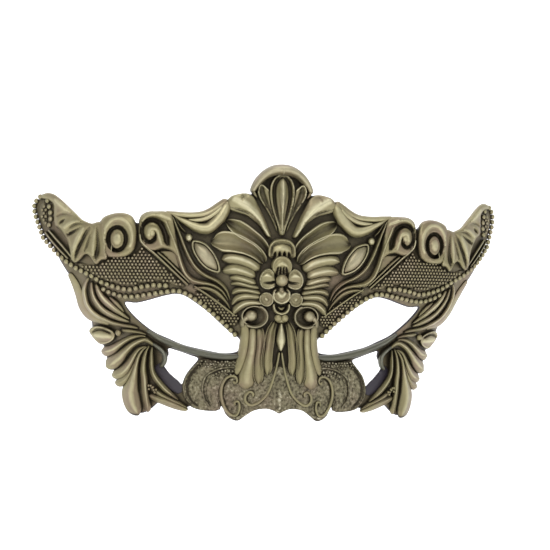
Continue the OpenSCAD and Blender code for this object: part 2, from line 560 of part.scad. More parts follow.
CHEEK_LEAVES = [
    [
        [52, -20.6, 1.34, 1.8], [54.2, -20.2, 1.79, 2.4], [57.6, -21, 2.46, 3], [60.4, -22.6, 2.91, 3.2],
        [63, -24.6, 3.58, 3.4], [65.6, -26.6, 4.48, 3.4], [68.2, -27.6, 4.48, 3], [70, -27.8, 2.24, 2]
    ],
    [
        [48.4, -24.4, 1.34, 2], [50.4, -22.6, 2.24, 2.8], [52.6, -21.7, 2.58, 3.2],
        [55.2, -22.6, 2.8, 3.5], [58, -24.6, 3.25, 3.6], [60.6, -27.4, 4.03, 3.8],
        [62.6, -29.8, 5.15, 3.8], [65, -32, 5.82, 3.4], [67, -33.6, 4.48, 2.6], [68, -34.2, 1.79, 1.8]
    ],
    [
        [52, -24.4, 1.34, 2.2], [54.6, -25.6, 2.24, 2.8], [56.4, -28, 2.8, 3.2], [57.9, -31, 3.36, 3.4],
        [59.7, -34, 4.26, 3.4], [61.8, -36.2, 4.93, 3.2], [64.4, -37.2, 3.81, 2.6],
        [65.6, -37.4, 1.79, 1.8]
    ],
    [
        [56.4, -31, 1.34, 2.2], [58, -35, 2.46, 2.8], [59.9, -38.2, 3.36, 3], [62, -40, 3.81, 2.8],
        [64.2, -40.6, 2.46, 2.2]
    ],
    [
        [51.6, -24.4, 1.34, 2.2], [53.4, -26, 2.13, 2.8], [55, -28.8, 2.58, 3.2],
        [55.9, -32.4, 3.02, 3.5], [56.6, -36, 4.03, 3.8], [57.4, -40, 5.6, 4], [57.8, -44, 7.17, 4],
        [57, -48, 7.17, 3.8], [55.6, -51.2, 5.82, 3.4], [54.6, -53, 2.91, 2.2]
    ],
    [
        [50.8, -24, 1.34, 2.2], [52, -26.6, 2.13, 2.8], [52.7, -30, 2.8, 3.4], [52.9, -34, 3.25, 3.6],
        [52.4, -38, 3.36, 3.6], [52.1, -42, 3.25, 3.4], [51.6, -46, 3.14, 3], [51, -49.4, 2.91, 2.6],
        [51, -51.4, 1.12, 1.6]
    ],
    [
        [49.6, -24.4, 1.34, 2.2], [49.8, -27, 1.9, 3], [49.8, -30.4, 2.24, 3.6], [49.5, -34, 2.46, 3.8],
        [48.2, -37, 2.8, 3.8], [46.2, -39.6, 3.02, 3.6], [43.8, -42, 2.91, 3.2], [41.2, -44, 2.02, 2.6],
        [39, -45.6, 1.01, 1.8]
    ],
    [
        [50.6, -40.6, 1.79, 2.2], [48.4, -42, 2.69, 2.8], [45.6, -43.9, 2.91, 3],
        [42.4, -45.4, 2.69, 2.8], [38.8, -47, 2.24, 2.4], [35.4, -48.6, 1.12, 1.6]
    ],
    [
        [50.8, -44.2, 2.46, 2.2], [47.8, -45.2, 3.36, 2.8], [44.4, -46.2, 3.7, 3],
        [40.6, -47.5, 3.58, 2.8], [37, -48.8, 2.46, 2.2], [35.2, -49.2, 1.12, 1.6]
    ]
];
CHEEK_CURL = [
    [50.2, -22.8, 1.4, 2.2], [47.6, -24.4, 2, 2.8], [45.4, -26.4, 2.2, 3], [44.6, -28.8, 2.2, 3],
    [45.2, -31.2, 2, 2.8], [46.6, -32.6, 1.6, 2.2]
];

// Large beads run down the edge of the wing and along the lid, then in a second row to the nose
BEAD_ROWS = [
    [
        [96.6, 36.8], [98.8, 34.6], [99.2, 32.2], [98.6, 29], [97.2, 25.3], [95, 19.5], [91.7, 15.8],
        [88.3, 12.4], [84.5, 9.4], [80.8, 7], [77, 5.2], [74.6, 4], [70.8, 1.7], [66.6, 0.2],
        [62.2, -0.9], [59, -1.1], [54.6, 0.1], [50, 0.9], [45.4, 0.8]
    ],
    [
        [69.8, -1.2], [67.5, -2.4], [63.4, -3.7], [60, -4.1], [56.7, -3.8], [51.8, -2.9], [46.5, -1.8],
        [40.6, -1.1], [36.6, -2.6], [31.2, -6], [27, -9.6], [22, -13.9], [17.6, -18.3]
    ],
    [
        [93.4, 35], [92.6, 32.6], [92, 30], [91.9, 27.4], [92.5, 24.8]
    ]
];

// ---- Sub-parts ----

module face_shell() {
    edge = concat(SHELL_EDGE, mirrored(SHELL_EDGE));
    color(bare_black)
        resize([0, 0, 0])
            intersection() {
                slab(-100, 100, -54, 50, 9, 0);
                through()
                    difference() {
                        polygon(edge);
                        polygon(EYE);
                        polygon(mirrored(EYE));
                        polygon(CHEEK_GAP);
                        polygon(mirrored(CHEEK_GAP));
                    }
            }
}
module crest_hood() {
    color(dark_brass) casting() strip(HOOD, RIDGE);
}
module crest_petal(outline, rim, h) {
    plate(outline, 9, h);
    strip(on_plate(rim, h), FINE);
}
module crest_palmette() {
    middle_h = 2.2;
    side_h = 1.5;
    color(pale_brass)
        casting() {
            crest_petal(both(PALM_OUTLINE), both(PALM_RIM), middle_h);
            strip([
                [0, 44.4, 2.6, 4.4], [0, 39.4, 4.8, 6], [0, 35, 4, 5], [0, 30, 1.6, 4], [0, 22, 1, 3.6]
            ], RIDGE);
            crest_petal(SIDE_OUTLINE, SIDE_RIM, side_h);
            mirror([1, 0, 0]) crest_petal(SIDE_OUTLINE, SIDE_RIM, side_h);
        }
}
// A shell of three lobes with a raised rim
module clasp_upper() {
    h = 2.9;
    outline = both([[2.8, 12.2], [5.6, 13.2], [5.7, 16], [4.9, 18.4], [3, 19.9], [0, 20.5]]);
    rim = both([
        [5.1, 12.8, 1.2, 1.3], [5.1, 16, 1.2, 1.4], [4.3, 18, 1.2, 1.4], [2.7, 19.3, 1.2, 1.4],
        [0, 19.8, 1.2, 1.4]
    ]);
    color(brass)
        casting() {
            plate(outline, 12, h);
            strip(on_plate(rim, h), FINE);
            for (x = [-2.4, 0, 2.4])
                strip([
                    [x * 0.9, 12.6, 1.4, h + 0.6], [x, 15, 2, h + 1.2], [x * 0.8, 17.4, 1.4, h + 0.9]
                ], RIDGE);
        }
}
module clasp_lower() {
    color(brass) dome(oval(0, 9.3, 4.3, 4.3, 16), 0, 9.3, 4.9);
}
PETAL = [
    [2.5, 5.8], [3.4, 7.6], [5, 8.5], [7.1, 7.7], [8.6, 5.8], [9, 3.6], [8.3, 1.3], [6.4, 0], [4.2, -0.1],
    [2.4, 0.9], [2.2, 3.2]
];
PETAL_RIM = [
    [3.1, 6.6, 1, 0.9], [5, 8, 1, 1.2], [7.4, 6.8, 1, 1.3], [8.6, 3.8, 1, 1.3], [7.6, 1, 1, 1.2],
    [5.2, 0.3, 1, 1.2], [3, 1.2, 1, 0.9]
];
module petal() {
    h = 2;
    small_h = 1.6;
    plate(PETAL, 12, h);
    strip(on_plate(PETAL_RIM, h), FINE);
    plate(oval(5.9, -4, 3.1, 3.1, 11), 12, small_h);
    dome(oval(5.9, -4, 1.7, 1.7, 10), 5.9, -4, small_h + 1);
}
module flower_petals() {
    h = 2.6;
    color(pale_brass)
        casting() {
            petal();
            mirror([1, 0, 0]) petal();
            plate(oval(0, -2.3, 4, 3.8, 14), 12, h);
            strip([for (a = [140:26:400]) [3.3 * cos(a), -2.3 + 3.1 * sin(a), 1.2, h + 1.3]], FINE);
            dome(oval(0, -2.2, 2.2, 2, 10), 0, -2.2, h + 1.5);
        }
}
module round_bead(x, z, r) {
    translate(on_front(x, z, 0.55 * r)) sphere(k * r);
}
module flower_bead() {
    color(pale_brass) translate(on_front(0, 3.7, 3)) sphere(k * 2.4);
}
module calyx_cup() {
    color(brass)
        strip([
            [-3, -5.4, 1.4, 3.2], [-3, -7.2, 1.6, 3.6], [-2, -8.9, 1.8, 3.8], [0, -9.7, 2, 4],
            [2, -8.9, 1.8, 3.8], [3, -7.2, 1.6, 3.6], [3, -5.4, 1.4, 3.2]
        ], RIDGE);
}
module calyx_knot() {
    color(brass)
        casting()
            for (x = [-1.25, 1.25])
                dome(oval(x, -11.5, 1.7, 1.9, 10), x, -11.5, 4);
}
module drop_bead() {
    color(pale_brass)
        strip([
            [0, -13.2, 1, 3.4], [0, -15.4, 2.2, 4.2], [0, -18, 3.6, 4.8], [0, -20.4, 4.2, 4.8],
            [0, -22.6, 2.8, 3.8], [0, -24.6, 0.8, 2.6]
        ], RIDGE);
}
module nose_plate() {
    color(brass) plate(both(NOSE_PLATE), 8, 2 * pad_t);
}

module fan() {
    h = 2.4;
    color(pale_brass)
        casting() {
            plate(FAN_TOP, 12, h);
            strip(on_plate(FAN_CREST, h), RIDGE);
            for (leaf = FAN_RIDGES) strip(leaf, RIDGE);
            for (leaf = FAN_GUTTERS) strip(leaf, GUTTER);
        }
}
module nose_scroll() {
    color(dark_brass)
        casting() {
            dome(oval(10.5, -10.8, 4.8, 4.1, 15), 10.5, -10.8, 1.6);
            strip(ring(10.5, -10.8, 5, 4.3, 1.3, 3.6, 14), WIRE);
            dome(oval(11.7, -10.6, 2.5, 2.5, 12), 11.7, -10.6, 4);
        }
}
module nose_tassels() {
    color(brass) casting() for (t = TASSELS) strip(t, RIDGE);
}
module nose_filigree() {
    color(pale_brass) casting() for (w = FILIGREE) strip(w, WIRE);
}
module nose_c_scroll() {
    color(pale_brass) casting() strip(C_SCROLL, WIRE);
}
module cheek_disc() {
    color(brass)
        casting() {
            plate(CHEEK_DISC, 9, 1.3);
            strip(on_plate(DISC_RIM, 0.3), WIRE);
        }
}
module cheek_medallion() {
    color(brass)
        casting() {
            plate(CHEEK_MEDALLION, 9, 1.7);
            strip(on_plate(MEDALLION_RIM, 0.3), WIRE);
        }
}
module eye_rim() {
    color(grey_green) casting() strip(EYE_RIM, WIRE, 2);
}
module brow_drape() {
    color(pale_brass) casting() for (fold = DRAPE) strip(fold, RIDGE);
}
module brow_scroll() {
    h = 3.4;
    color(brass)
        casting() {
            difference() {
                plate(BROW_OUTLINE, 14, h);
                strip(BROW_HOLLOW, HOLLOW);
            }
            strip(on_plate(BROW_CREST, h), RIDGE);
            dome(oval(51.8, 22, 2.3, 2.5, 12), 51.8, 22, 4.6);
            plate(BROW_PLATE, 14, 1.1);
            for (band = BROW_BANDS) strip(band, RIDGE);
            for (w = BROW_WIRES) strip(w, FINE);
        }
}
module gem() {
    color(dark_brass) dome(loop(GEM, 2), 30, 12.5, 3.8);
}
module gem_bezel() {
    bezel = [for (p = loop(GEM, 2)) [p[0], p[1], 1.3, 2.9]];
    color(pale_brass)
        casting() {
            strip(concat(bezel, [bezel[0]]), FINE);
            dome(oval(36.9, 20, 1.6, 1.8, 10), 36.9, 20, 3.4);
        }
}
module wing_scroll() {
    h = 3.4;
    hollow = [for (a = [250:22:580]) [65 + 3.5 * cos(a), 19.1 + 4.7 * sin(a), 1.9, h + 0.8]];
    crest = [for (a = [-30:30:240]) [64.8 + 5.6 * cos(a), 20 + 7.4 * sin(a), 2.6, h + 1]];
    color(brass)
        casting() {
            difference() {
                plate(WING_VOLUTE, 14, h);
                strip(hollow, HOLLOW);
            }
            strip(crest, RIDGE);
            dome(oval(65, 19.1, 2.4, 3.4, 14), 65, 19.1, 4.4);
        }
}
module wing_leaf() {
    h = 2.6;
    color(pale_brass)
        casting() {
            plate(WING_OUTLINE, 14, h);
            for (crest = WING_CRESTS) strip(on_plate(crest, h), RIDGE);
            for (w = WING_WIRES) strip(w, FINE);
        }
}
module wing_tip_pad() {
    color(brass) plate(WING_TIP_PAD, 6, pad_t);
}
module lid_pad() {
    color(brass) plate(LID_PAD, 8, pad_t);
}
module brow_pad() {
    color(brass) plate(BROW_PAD, 10, pad_t);
}

// Points at an even spacing along a line of [x, z] points
function lengths(p, i = 1, sums = [0]) =
    i >= len(p) ? sums : lengths(p, i + 1, concat(sums, [sums[i - 1] + norm(p[i] - p[i - 1])]));
function point_at(p, sums, s, i = 1) =
    (i >= len(p) - 1 || sums[i] >= s)
        ? p[i - 1] + (p[i] - p[i - 1]) * (s - sums[i - 1]) / (sums[i] - sums[i - 1])
        : point_at(p, sums, s, i + 1);
function spaced(p, pitch) =
    let (sums = lengths(p), total = sums[len(p) - 1], n = floor(total / pitch))
    [for (i = [0:n]) point_at(p, sums, total * i / n)];
module bead_rows() {
    color(pale_brass)
        for (row = BEAD_ROWS)
            for (p = spaced(row, bead_pitch))
                round_bead(p[0], p[1], bead_r);
}
module cheek_fan() {
    pod_h = 2.2;
    color(pale_brass)
        casting() {
            for (leaf = CHEEK_FAN) strip(leaf, RIDGE);
            plate(POD, 12, pod_h);
            for (crest = POD_CRESTS) strip(on_plate(crest, pod_h), RIDGE);
            dome(oval(63.2, -19.3, 1.35, 1.35, 10), 63.2, -19.3, 2.6);
        }
}
module cheek_leaf() {
    color(pale_brass) casting() for (leaf = CHEEK_LEAVES) strip(leaf, RIDGE);
}
module cheek_curl() {
    color(brass) casting() strip(CHEEK_CURL, WIRE);
}

// A round boss on a web, glued by its foot to the back of the temple
module strap_lug() {
    foot_w = 14;
    foot_t = 1.6;
    web_w = 4;
    sink = 0.4;
    back = [lug_x, front(lug_x, lug_z) + wall(lug_x, lug_z), lug_z];
    color(bare_black)
        translate(k * back)
            rotate([0, 0, atan(slope_x(lug_x, lug_z))])
                difference() {
                    union() {
                        translate([-foot_w / 2, -sink, -lug_h / 2]) cube([foot_w, foot_t, lug_h]);
                        translate([-web_w / 2, -sink, -lug_h / 2]) cube([web_w, lug_reach, lug_h]);
                        translate([0, lug_reach, -lug_h / 2]) cylinder(lug_h, boss_r, boss_r);
                    }
                    translate([0, lug_reach, -lug_h / 2 - 1]) cylinder(lug_h + 2, strap_r, strap_r);
                }
}

// A sub-part of the left side, and the same one mirrored for the right side
module pair(name) {
    children();
    mirror([1, 0, 0]) children();
}

face_shell();
crest_hood();
crest_palmette();
clasp_upper();
clasp_lower();
flower_petals();
flower_bead();
calyx_cup();
calyx_knot();
drop_bead();
nose_plate();
pair("fan") fan();
pair("nose_scroll") nose_scroll();
pair("nose_tassels") nose_tassels();
pair("nose_filigree") nose_filigree();
pair("nose_c_scroll") nose_c_scroll();
pair("cheek_disc") cheek_disc();
pair("cheek_medallion") cheek_medallion();
pair("eye_rim") eye_rim();
pair("brow_drape") brow_drape();
pair("brow_scroll") brow_scroll();
pair("gem") gem();
pair("gem_bezel") gem_bezel();
pair("wing_scroll") wing_scroll();
pair("wing_leaf") wing_leaf();
pair("wing_tip_pad") wing_tip_pad();
pair("lid_pad") lid_pad();
pair("brow_pad") brow_pad();
pair("bead_rows") bead_rows();
pair("cheek_fan") cheek_fan();
pair("cheek_leaf") cheek_leaf();
pair("cheek_curl") cheek_curl();
pair("strap_lug") strap_lug();
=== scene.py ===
"""Venetian half mask in antique brass paint: the shell, its cast ornament and a plain pale studio."""

import math

import bpy
import numpy as np
from mathutils import Matrix, Vector
from mathutils.geometry import delaunay_2d_cdt


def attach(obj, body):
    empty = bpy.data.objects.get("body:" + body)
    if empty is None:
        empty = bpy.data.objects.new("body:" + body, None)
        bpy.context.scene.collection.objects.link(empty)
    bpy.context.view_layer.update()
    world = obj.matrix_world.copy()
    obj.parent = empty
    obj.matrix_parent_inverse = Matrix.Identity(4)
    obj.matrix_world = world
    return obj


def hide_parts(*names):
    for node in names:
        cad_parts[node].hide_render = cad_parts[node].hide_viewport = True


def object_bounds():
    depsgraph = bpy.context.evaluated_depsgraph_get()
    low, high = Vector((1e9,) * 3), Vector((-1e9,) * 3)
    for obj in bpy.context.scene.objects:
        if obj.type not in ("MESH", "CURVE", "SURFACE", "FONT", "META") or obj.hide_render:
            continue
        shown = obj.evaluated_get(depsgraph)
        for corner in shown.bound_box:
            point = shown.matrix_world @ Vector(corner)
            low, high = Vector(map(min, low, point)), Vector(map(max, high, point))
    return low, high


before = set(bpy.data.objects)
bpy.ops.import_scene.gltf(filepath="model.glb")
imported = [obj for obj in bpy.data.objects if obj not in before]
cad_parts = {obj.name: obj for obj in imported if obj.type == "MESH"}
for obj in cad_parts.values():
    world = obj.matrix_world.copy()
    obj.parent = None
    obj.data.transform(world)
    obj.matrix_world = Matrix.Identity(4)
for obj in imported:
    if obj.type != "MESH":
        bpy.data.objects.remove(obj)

CAD_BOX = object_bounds()
MM = 0.001

# Ornaments are drawn flat in millimetres, as across (x), up (z) and height (h), and then follow the shell.
SHELL_T = 2.2
SHELL_BEVEL = 0.45
SEAT = 0.5  # how far every ornament sinks into the shell
BEAD_R = 1.12
BEAD_PITCH = 2.3
PAD_T = 0.35  # the ground under a field of dots
DOT_H = 0.6  # how high a dot's middle stands
DOT_CLEAR = 0.45  # from a field's edge to the nearest dot's middle

# Mesh cells, in millimetres
SHELL_CELL = 2.6
FOOT_CELL = 3.0
PLATE_CELL = 1.6
CARVED_CELL = 0.55
FINE_CELL = 0.45

FULL_CREST_H = 3.2  # the height at which a strip counts as fully proud: fully worn pale with painted highlight, and clear of the wash and painted shade


# ---- The shell's surface ----


def smooth(a, b, t):
    u = np.clip((t - a) / (b - a), 0, 1)
    return u * u * (3 - 2 * u)


def front(x, z):
    """The shell's front surface, as a depth along +Y."""
    low = smooth(12, -28, z)
    bridge = -SHELL_T + 0.06 * z + 0.0005 * z**2
    wing = 0.0022 * x**2 + 2.9e-7 * x**4
    cheek = 0.0048 * low * x**2
    nose = 6 * low * (1 - np.exp(-((x / 15) ** 2)))
    return bridge + wing + cheek + nose


def wall(x, z):
    """How far back the wall reaches, so that it stays SHELL_T thick where it slopes."""
    slope_x = front(x + 0.5, z) - front(x - 0.5, z)
    slope_z = front(x, z + 0.5) - front(x, z - 0.5)
    return SHELL_T * np.sqrt(1 + slope_x**2 + slope_z**2)


def on_front(x, z, h):
    """Points in metres at height h in front of the shell."""
    x, z, h = np.broadcast_arrays(np.asarray(x, float), z, h)
    return np.stack([x, front(x, z) - h, z], -1).reshape(-1, 3) * MM


# ---- Curves and sections ----


def blend(a, b, c, d, t):
    return 0.5 * (2 * b + (c - a) * t + (2 * a - 5 * b + 4 * c - d) * t**2 + (3 * b - a - 3 * c + d) * t**3)


def curve(points, steps):
    """A smooth curve through the points."""
    p = np.array(points, float)
    n = len(p) - 1
    out = [
        blend(p[max(i - 1, 0)], p[i], p[i + 1], p[min(i + 2, n)], j / steps)
        for i in range(n)
        for j in range(steps)
    ]
    return np.array(out + [p[n]])


def loop(points, steps):
    """The same through a loop of points that closes on itself."""
    p = np.array(points, float)
    n = len(p)
    return np.array([
        blend(p[i - 1], p[i], p[(i + 1) % n], p[(i + 2) % n], j / steps)
        for i in range(n)
        for j in range(steps)
    ])


def travelled(p):
    """How far along a line each of its points lies."""
    return np.concatenate([[0], np.cumsum(np.linalg.norm(np.diff(p, axis=0), axis=1))])


def mirrored(points):
    return [[-p[0], *p[1:]] for p in reversed(points)]


def both(points):
    """Points on the left and their mirror images, so that a line or outline crosses the middle."""
    return points + mirrored(points if points[-1][0] else points[:-1])


def oval(x, z, rx, rz, n=40):
    a = np.linspace(0, 2 * math.pi, n, endpoint=False)
    return np.stack([x + rx * np.cos(a), z + rz * np.sin(a)], -1)


def ring(x, z, rx, rz, w, h, start, turn, n):
    """A wire bent round an oval from a start angle, as points for a strip."""
    a = np.radians(start + np.linspace(0, turn, n))
    return np.stack([x + rx * np.cos(a), z + rz * np.sin(a), np.full(n, w), np.full(n, h)], -1).tolist()


# Across a section, u runs from one edge (-1) to the other (1). A form gives the share of the height there.
ACROSS = np.concatenate([[-1], np.sin(np.linspace(-0.5, 0.5, 21) * math.pi), [1]])


def round_form(u):
    return np.sqrt(1 - u**2)


def low_form(u):
    return 0.45 * round_form(u)


def ridge_form(u):
    return 0.55 * round_form(u) + 0.45 * (1 - abs(u)) ** 1.2


def edge(u, start):
    """Drops the last of a section's width to the shell."""
    return np.sqrt(np.clip(1 - np.clip((abs(u) - start) / (1 - start), 0, 1) ** 2, 0, 1))


def gutter_form(u):
    """A long hollow between two high edges."""
    return (0.18 + 0.82 * np.clip(abs(u) / 0.82, 0, 1) ** 2) * edge(u, 0.8)


def rimmed_form(u):
    """A soft crest between two thin raised rims."""
    rim = 0.42 * np.exp(-(((abs(u) - 0.86) / 0.1) ** 2))
    return (0.5 + 0.42 * (1 - abs(u)) ** 1.5 + rim) * edge(u, 0.88)


# ---- Building meshes ----


def quads(starts, n, turned=False):
    """Faces between closed rows of n points, from the number of each row's first point."""
    faces = [
        [a + j, a + (j + 1) % n, b + (j + 1) % n, b + j]
        for a, b in zip(starts, starts[1:])
        for j in range(n)
    ]
    return [[a, d, c, b] for a, b, c, d in faces] if turned else faces


class Casting:
    """Collects the parts of one piece: points in metres, faces, and how far each point stands proud."""

    def __init__(self):
        self.points, self.faces, self.crest, self.count = [], [], [], 0

    def add(self, points, faces, crest):
        self.points.append(points)
        self.crest.append(np.broadcast_to(crest, len(points)))
        self.faces += [[i + self.count for i in face] for face in faces]
        self.count += len(points)
        return self

    def strip(self, points, form=ridge_form, steps=8, round_ends=True):
        """One leaf, scroll or wire: the form swept along [x, z, width, height] points."""
        p = curve(points, steps)
        run = np.gradient(p[:, :2], axis=0)
        run /= np.linalg.norm(run, axis=1)[:, None]
        width, height = p[:, 2].copy(), p[:, 3].copy()
        if round_ends:
            travel = travelled(p[:, :2])
            near = np.minimum(travel, travel[-1] - travel) / np.maximum(0.5 * width, 0.1)
            tip = np.sqrt(np.clip(1 - (1 - np.clip(near, 0, 1)) ** 2, 0.03, 1))
            width *= tip
            height *= 0.3 + 0.7 * tip
        share = form(ACROSS)
        h = share * height[:, None]
        h[:, [0, -1]] = -SEAT
        x = p[:, 0, None] - run[:, 1, None] * ACROSS * width[:, None] / 2
        z = p[:, 1, None] + run[:, 0, None] * ACROSS * width[:, None] / 2
        n, m = h.shape
        last = (n - 1) * m
        ends = [list(range(m))[::-1], list(range(last, last + m))]
        crest = np.clip(h / FULL_CREST_H, 0, 1).ravel() * np.tile(share, n)
        return self.add(on_front(x, z, h), quads(range(0, n * m, m), m) + ends, crest)

    def strips(self, parts, form=ridge_form):
        for part in parts:
            self.strip(part, form)
        return self

    def wire(self, points, steps=8):
        return self.strip(points, round_form, steps)

    def dome(self, outline, x, z, h, profile):
        """A boss on an outline about its middle. The profile holds shares of the radius and the height."""
        outline = np.asarray(outline, float)
        n, rows = len(outline), len(profile)
        rings = [(outline - [x, z]) * s + [x, z] for s, v in profile]
        heights = [np.full(n, -SEAT if v < 0 else v * h) for s, v in profile]
        flat = np.concatenate(rings + [[[x, z]]])
        up = np.concatenate(heights + [[profile[-1][1] * h]])
        last = (rows - 1) * n
        top = [[last + j, last + (j + 1) % n, rows * n] for j in range(n)]
        foot = [list(range(n))[::-1]]
        faces = quads(range(0, rows * n, n), n) + top + foot
        return self.add(on_front(flat[:, 0], flat[:, 1], up), faces, np.clip(up / h, 0, 1))

    def bead(self, x, z, r, lift=0.55, rings=8, sides=14):
        """A true ball seated on the shell. The lift is its middle's height, as a share of r."""
        a = np.linspace(0, 2 * math.pi, sides, endpoint=False)
        t = np.linspace(0, math.pi, rings + 1)[1:-1]
        back = np.repeat(-np.cos(t)[:, None], sides, 1)
        ball = np.stack([np.outer(np.sin(t), np.cos(a)), back, np.outer(np.sin(t), np.sin(a))], -1)
        ball = np.concatenate([ball.reshape(-1, 3), [[0, -1, 0], [0, 1, 0]]])
        front_pole, last = (rings - 1) * sides, (rings - 2) * sides
        faces = quads(range(0, front_pole, sides), sides, turned=True)
        faces += [[front_pole, j, (j + 1) % sides] for j in range(sides)]
        faces += [[front_pole + 1, last + (j + 1) % sides, last + j] for j in range(sides)]
        middle = on_front(x, z, lift * r)[0]
        return self.add(middle + ball * r * MM, faces, 0.25 + 0.6 * np.clip(-ball[:, 1], 0, 1))

    def pebbles(self, places, r, height):
        """Small coarse beads, with their middles at one height."""
        for x, z in places:
            self.bead(x, z, r, height / r, 5, 8)
        return self

    def dots(self, outline, pitch, r):
        """A close field of tiny beads inside an outline."""
        grid = hex_grid(outline, pitch)
        grid = grid[inside(grid, outline)]
        return self.pebbles(grid[edge_distance(grid, outline) > DOT_CLEAR], r, DOT_H + 0.25 * r)

    def carved(self, outline, h, lines=(), roll=1.0, cell=CARVED_CELL, grain=0.0, seed=1):
        """A raised plate with rolled edges. Each line on it raises a crest, or cuts a groove."""
        border = closed(outline)
        rings = []
        for share in (0.1, 0.3, 0.6, 1.0):
            row = inset(border, roll * share)
            row = row[inside(row, border)]
            rings.append(row[edge_distance(row, border) > 0.85 * roll * share])
        flat, triangles = fill([border], cell, np.concatenate(rings), roll)
        n = len(border)
        gap = edge_distance(flat, border)
        gap[:n] = 0
        rise = 1 - np.clip(gap / roll, 0, 1)
        flatness = np.sqrt(1 - rise**2)
        up = h * (0.12 + 0.88 * flatness)
        crest = 0.3 + 0.3 * flatness - 0.25 * rise
        for line in lines:
            shape, lift = relief(flat, line)
            up = up + shape * lift
            crest = crest + shape * np.sign(lift) * np.clip(abs(lift) / 1.6, 0.2, 0.6)
        if grain:
            up[n:] += np.random.default_rng(seed).normal(0, grain, len(up) - n)
        return self.slab(border, flat, triangles, np.maximum(up, 0.05), np.clip(crest, 0, 1))

    def plate(self, border):
        """The thin ground under a field of beads."""
        flat, triangles = fill([border], PLATE_CELL)
        up = np.full(len(flat), PAD_T)
        up[:len(border)] = 0.3 * PAD_T
        return self.slab(border, flat, triangles, up, np.zeros(len(flat)))

    def slab(self, border, flat, triangles, up, crest):
        """Closes a filled outline with a wall round it and a foot that follows the shell."""
        total = len(flat)
        under, foot = fill([border], FOOT_CELL)
        foot = [[total + j for j in face[::-1]] for face in foot]
        points = [on_front(flat[:, 0], flat[:, 1], up), on_front(under[:, 0], under[:, 1], -SEAT)]
        faces = triangles + quads([0, total], len(border), turned=True) + foot
        return self.add(np.concatenate(points), faces, np.concatenate([crest, np.zeros(len(under))]))


def nearest(p, a, b):
    """How far along each segment from a to b each point comes nearest, as a share, and how near."""
    run = b - a
    t = np.clip(((p[:, None] - a) * run).sum(-1) / np.maximum((run**2).sum(-1), 1e-9), 0, 1)
    return t, np.linalg.norm(a + run * t[..., None] - p[:, None], axis=-1)


def edge_distance(p, outline):
    """How far each [x, z] point lies from the outline."""
    return nearest(p, outline, np.roll(outline, -1, axis=0))[1].min(1)


def relief(flat, line):
    """How strongly a line acts at each point, from 0 to 1, and its height there."""
    p = curve(line, 5)
    a, b = p[:-1], p[1:]
    t, gap = nearest(flat, a[:, :2], b[:, :2])
    best = gap.argmin(1)
    rows = np.arange(len(flat))
    t, gap = t[rows, best], gap[rows, best]
    width = a[best, 2] + (b[best, 2] - a[best, 2]) * t
    lift = a[best, 3] + (b[best, 3] - a[best, 3]) * t
    near = 1 - np.clip(2 * gap / np.maximum(width, 1e-6), 0, 1)
    return np.where(lift > 0, near**1.35, 1 - (1 - near) ** 2.2), lift


def inside(p, outline):
    """Which of the [x, z] points lie in the outline."""
    a, b = outline, np.roll(outline, -1, axis=0)
    x, z = p[:, 0, None], p[:, 1, None]
    span = (a[:, 1] > z) != (b[:, 1] > z)
    rise = np.where(b[:, 1] == a[:, 1], 1, b[:, 1] - a[:, 1])
    return (span & (x < (b[:, 0] - a[:, 0]) * (z - a[:, 1]) / rise + a[:, 0])).sum(1) % 2 == 1


def hex_grid(outline, cell):
    """Points in staggered rows that cover the outline's box."""
    low, high = np.min(outline, 0), np.max(outline, 0)
    row_step = cell * math.sqrt(3) / 2
    return np.array([
        [low[0] + (j + 0.5 * (i % 2)) * cell, low[1] + i * row_step]
        for i in range(int((high[1] - low[1]) / row_step) + 2)
        for j in range(int((high[0] - low[0]) / cell) + 2)
    ])


def inside_out(one):
    x, z = one[:, 0], one[:, 1]
    return (x * np.roll(z, -1) - np.roll(x, -1) * z).sum() < 0


def closed(outline):
    """A smooth loop through the points, turning the same way whichever side it is on."""
    line = loop(outline, 3)
    return line[::-1] if inside_out(line) else line


def inset(one, distance):
    """The loop moved to the material's side of its line."""
    run = np.roll(one, -1, axis=0) - np.roll(one, 1, axis=0)
    run = run / np.linalg.norm(run, axis=1)[:, None]
    return one + np.stack([-run[:, 1], run[:, 0]], -1) * distance


def between(p, loops):
    """Which points lie in the first loop and outside the others."""
    kept = inside(p, loops[0])
    for hole in loops[1:]:
        kept &= ~inside(p, hole)
    return kept


def fill(loops, cell, rings=None, clear=0.0):
    """Points and triangles in the first loop, round the others. The loops' own points come first."""
    grid = hex_grid(loops[0], cell)
    grid = grid[between(grid, loops)]
    for one in loops:
        grid = grid[edge_distance(grid, one) > max(0.45 * cell, clear * 1.15)]
    flat = np.concatenate(loops + ([grid] if rings is None else [rings, grid]))
    edges, start = [], 0
    for one in loops:
        edges += [(start + j, start + (j + 1) % len(one)) for j in range(len(one))]
        start += len(one)
    made = delaunay_2d_cdt([Vector(p) for p in flat], edges, [], 0, 1e-6)
    points = np.array([list(p) for p in made[0]])
    faces = np.array([list(face) for face in made[2]])
    a, b, c = (points[faces[:, i]] for i in range(3))
    turn = (b[:, 0] - a[:, 0]) * (c[:, 1] - a[:, 1]) - (b[:, 1] - a[:, 1]) * (c[:, 0] - a[:, 0])
    wanted = between(points[faces].mean(1), loops)
    faces[turn < 0] = faces[turn < 0][:, ::-1]
    return points, faces[wanted & (abs(turn) > 1e-9)].tolist()


# ---- Outlines ----

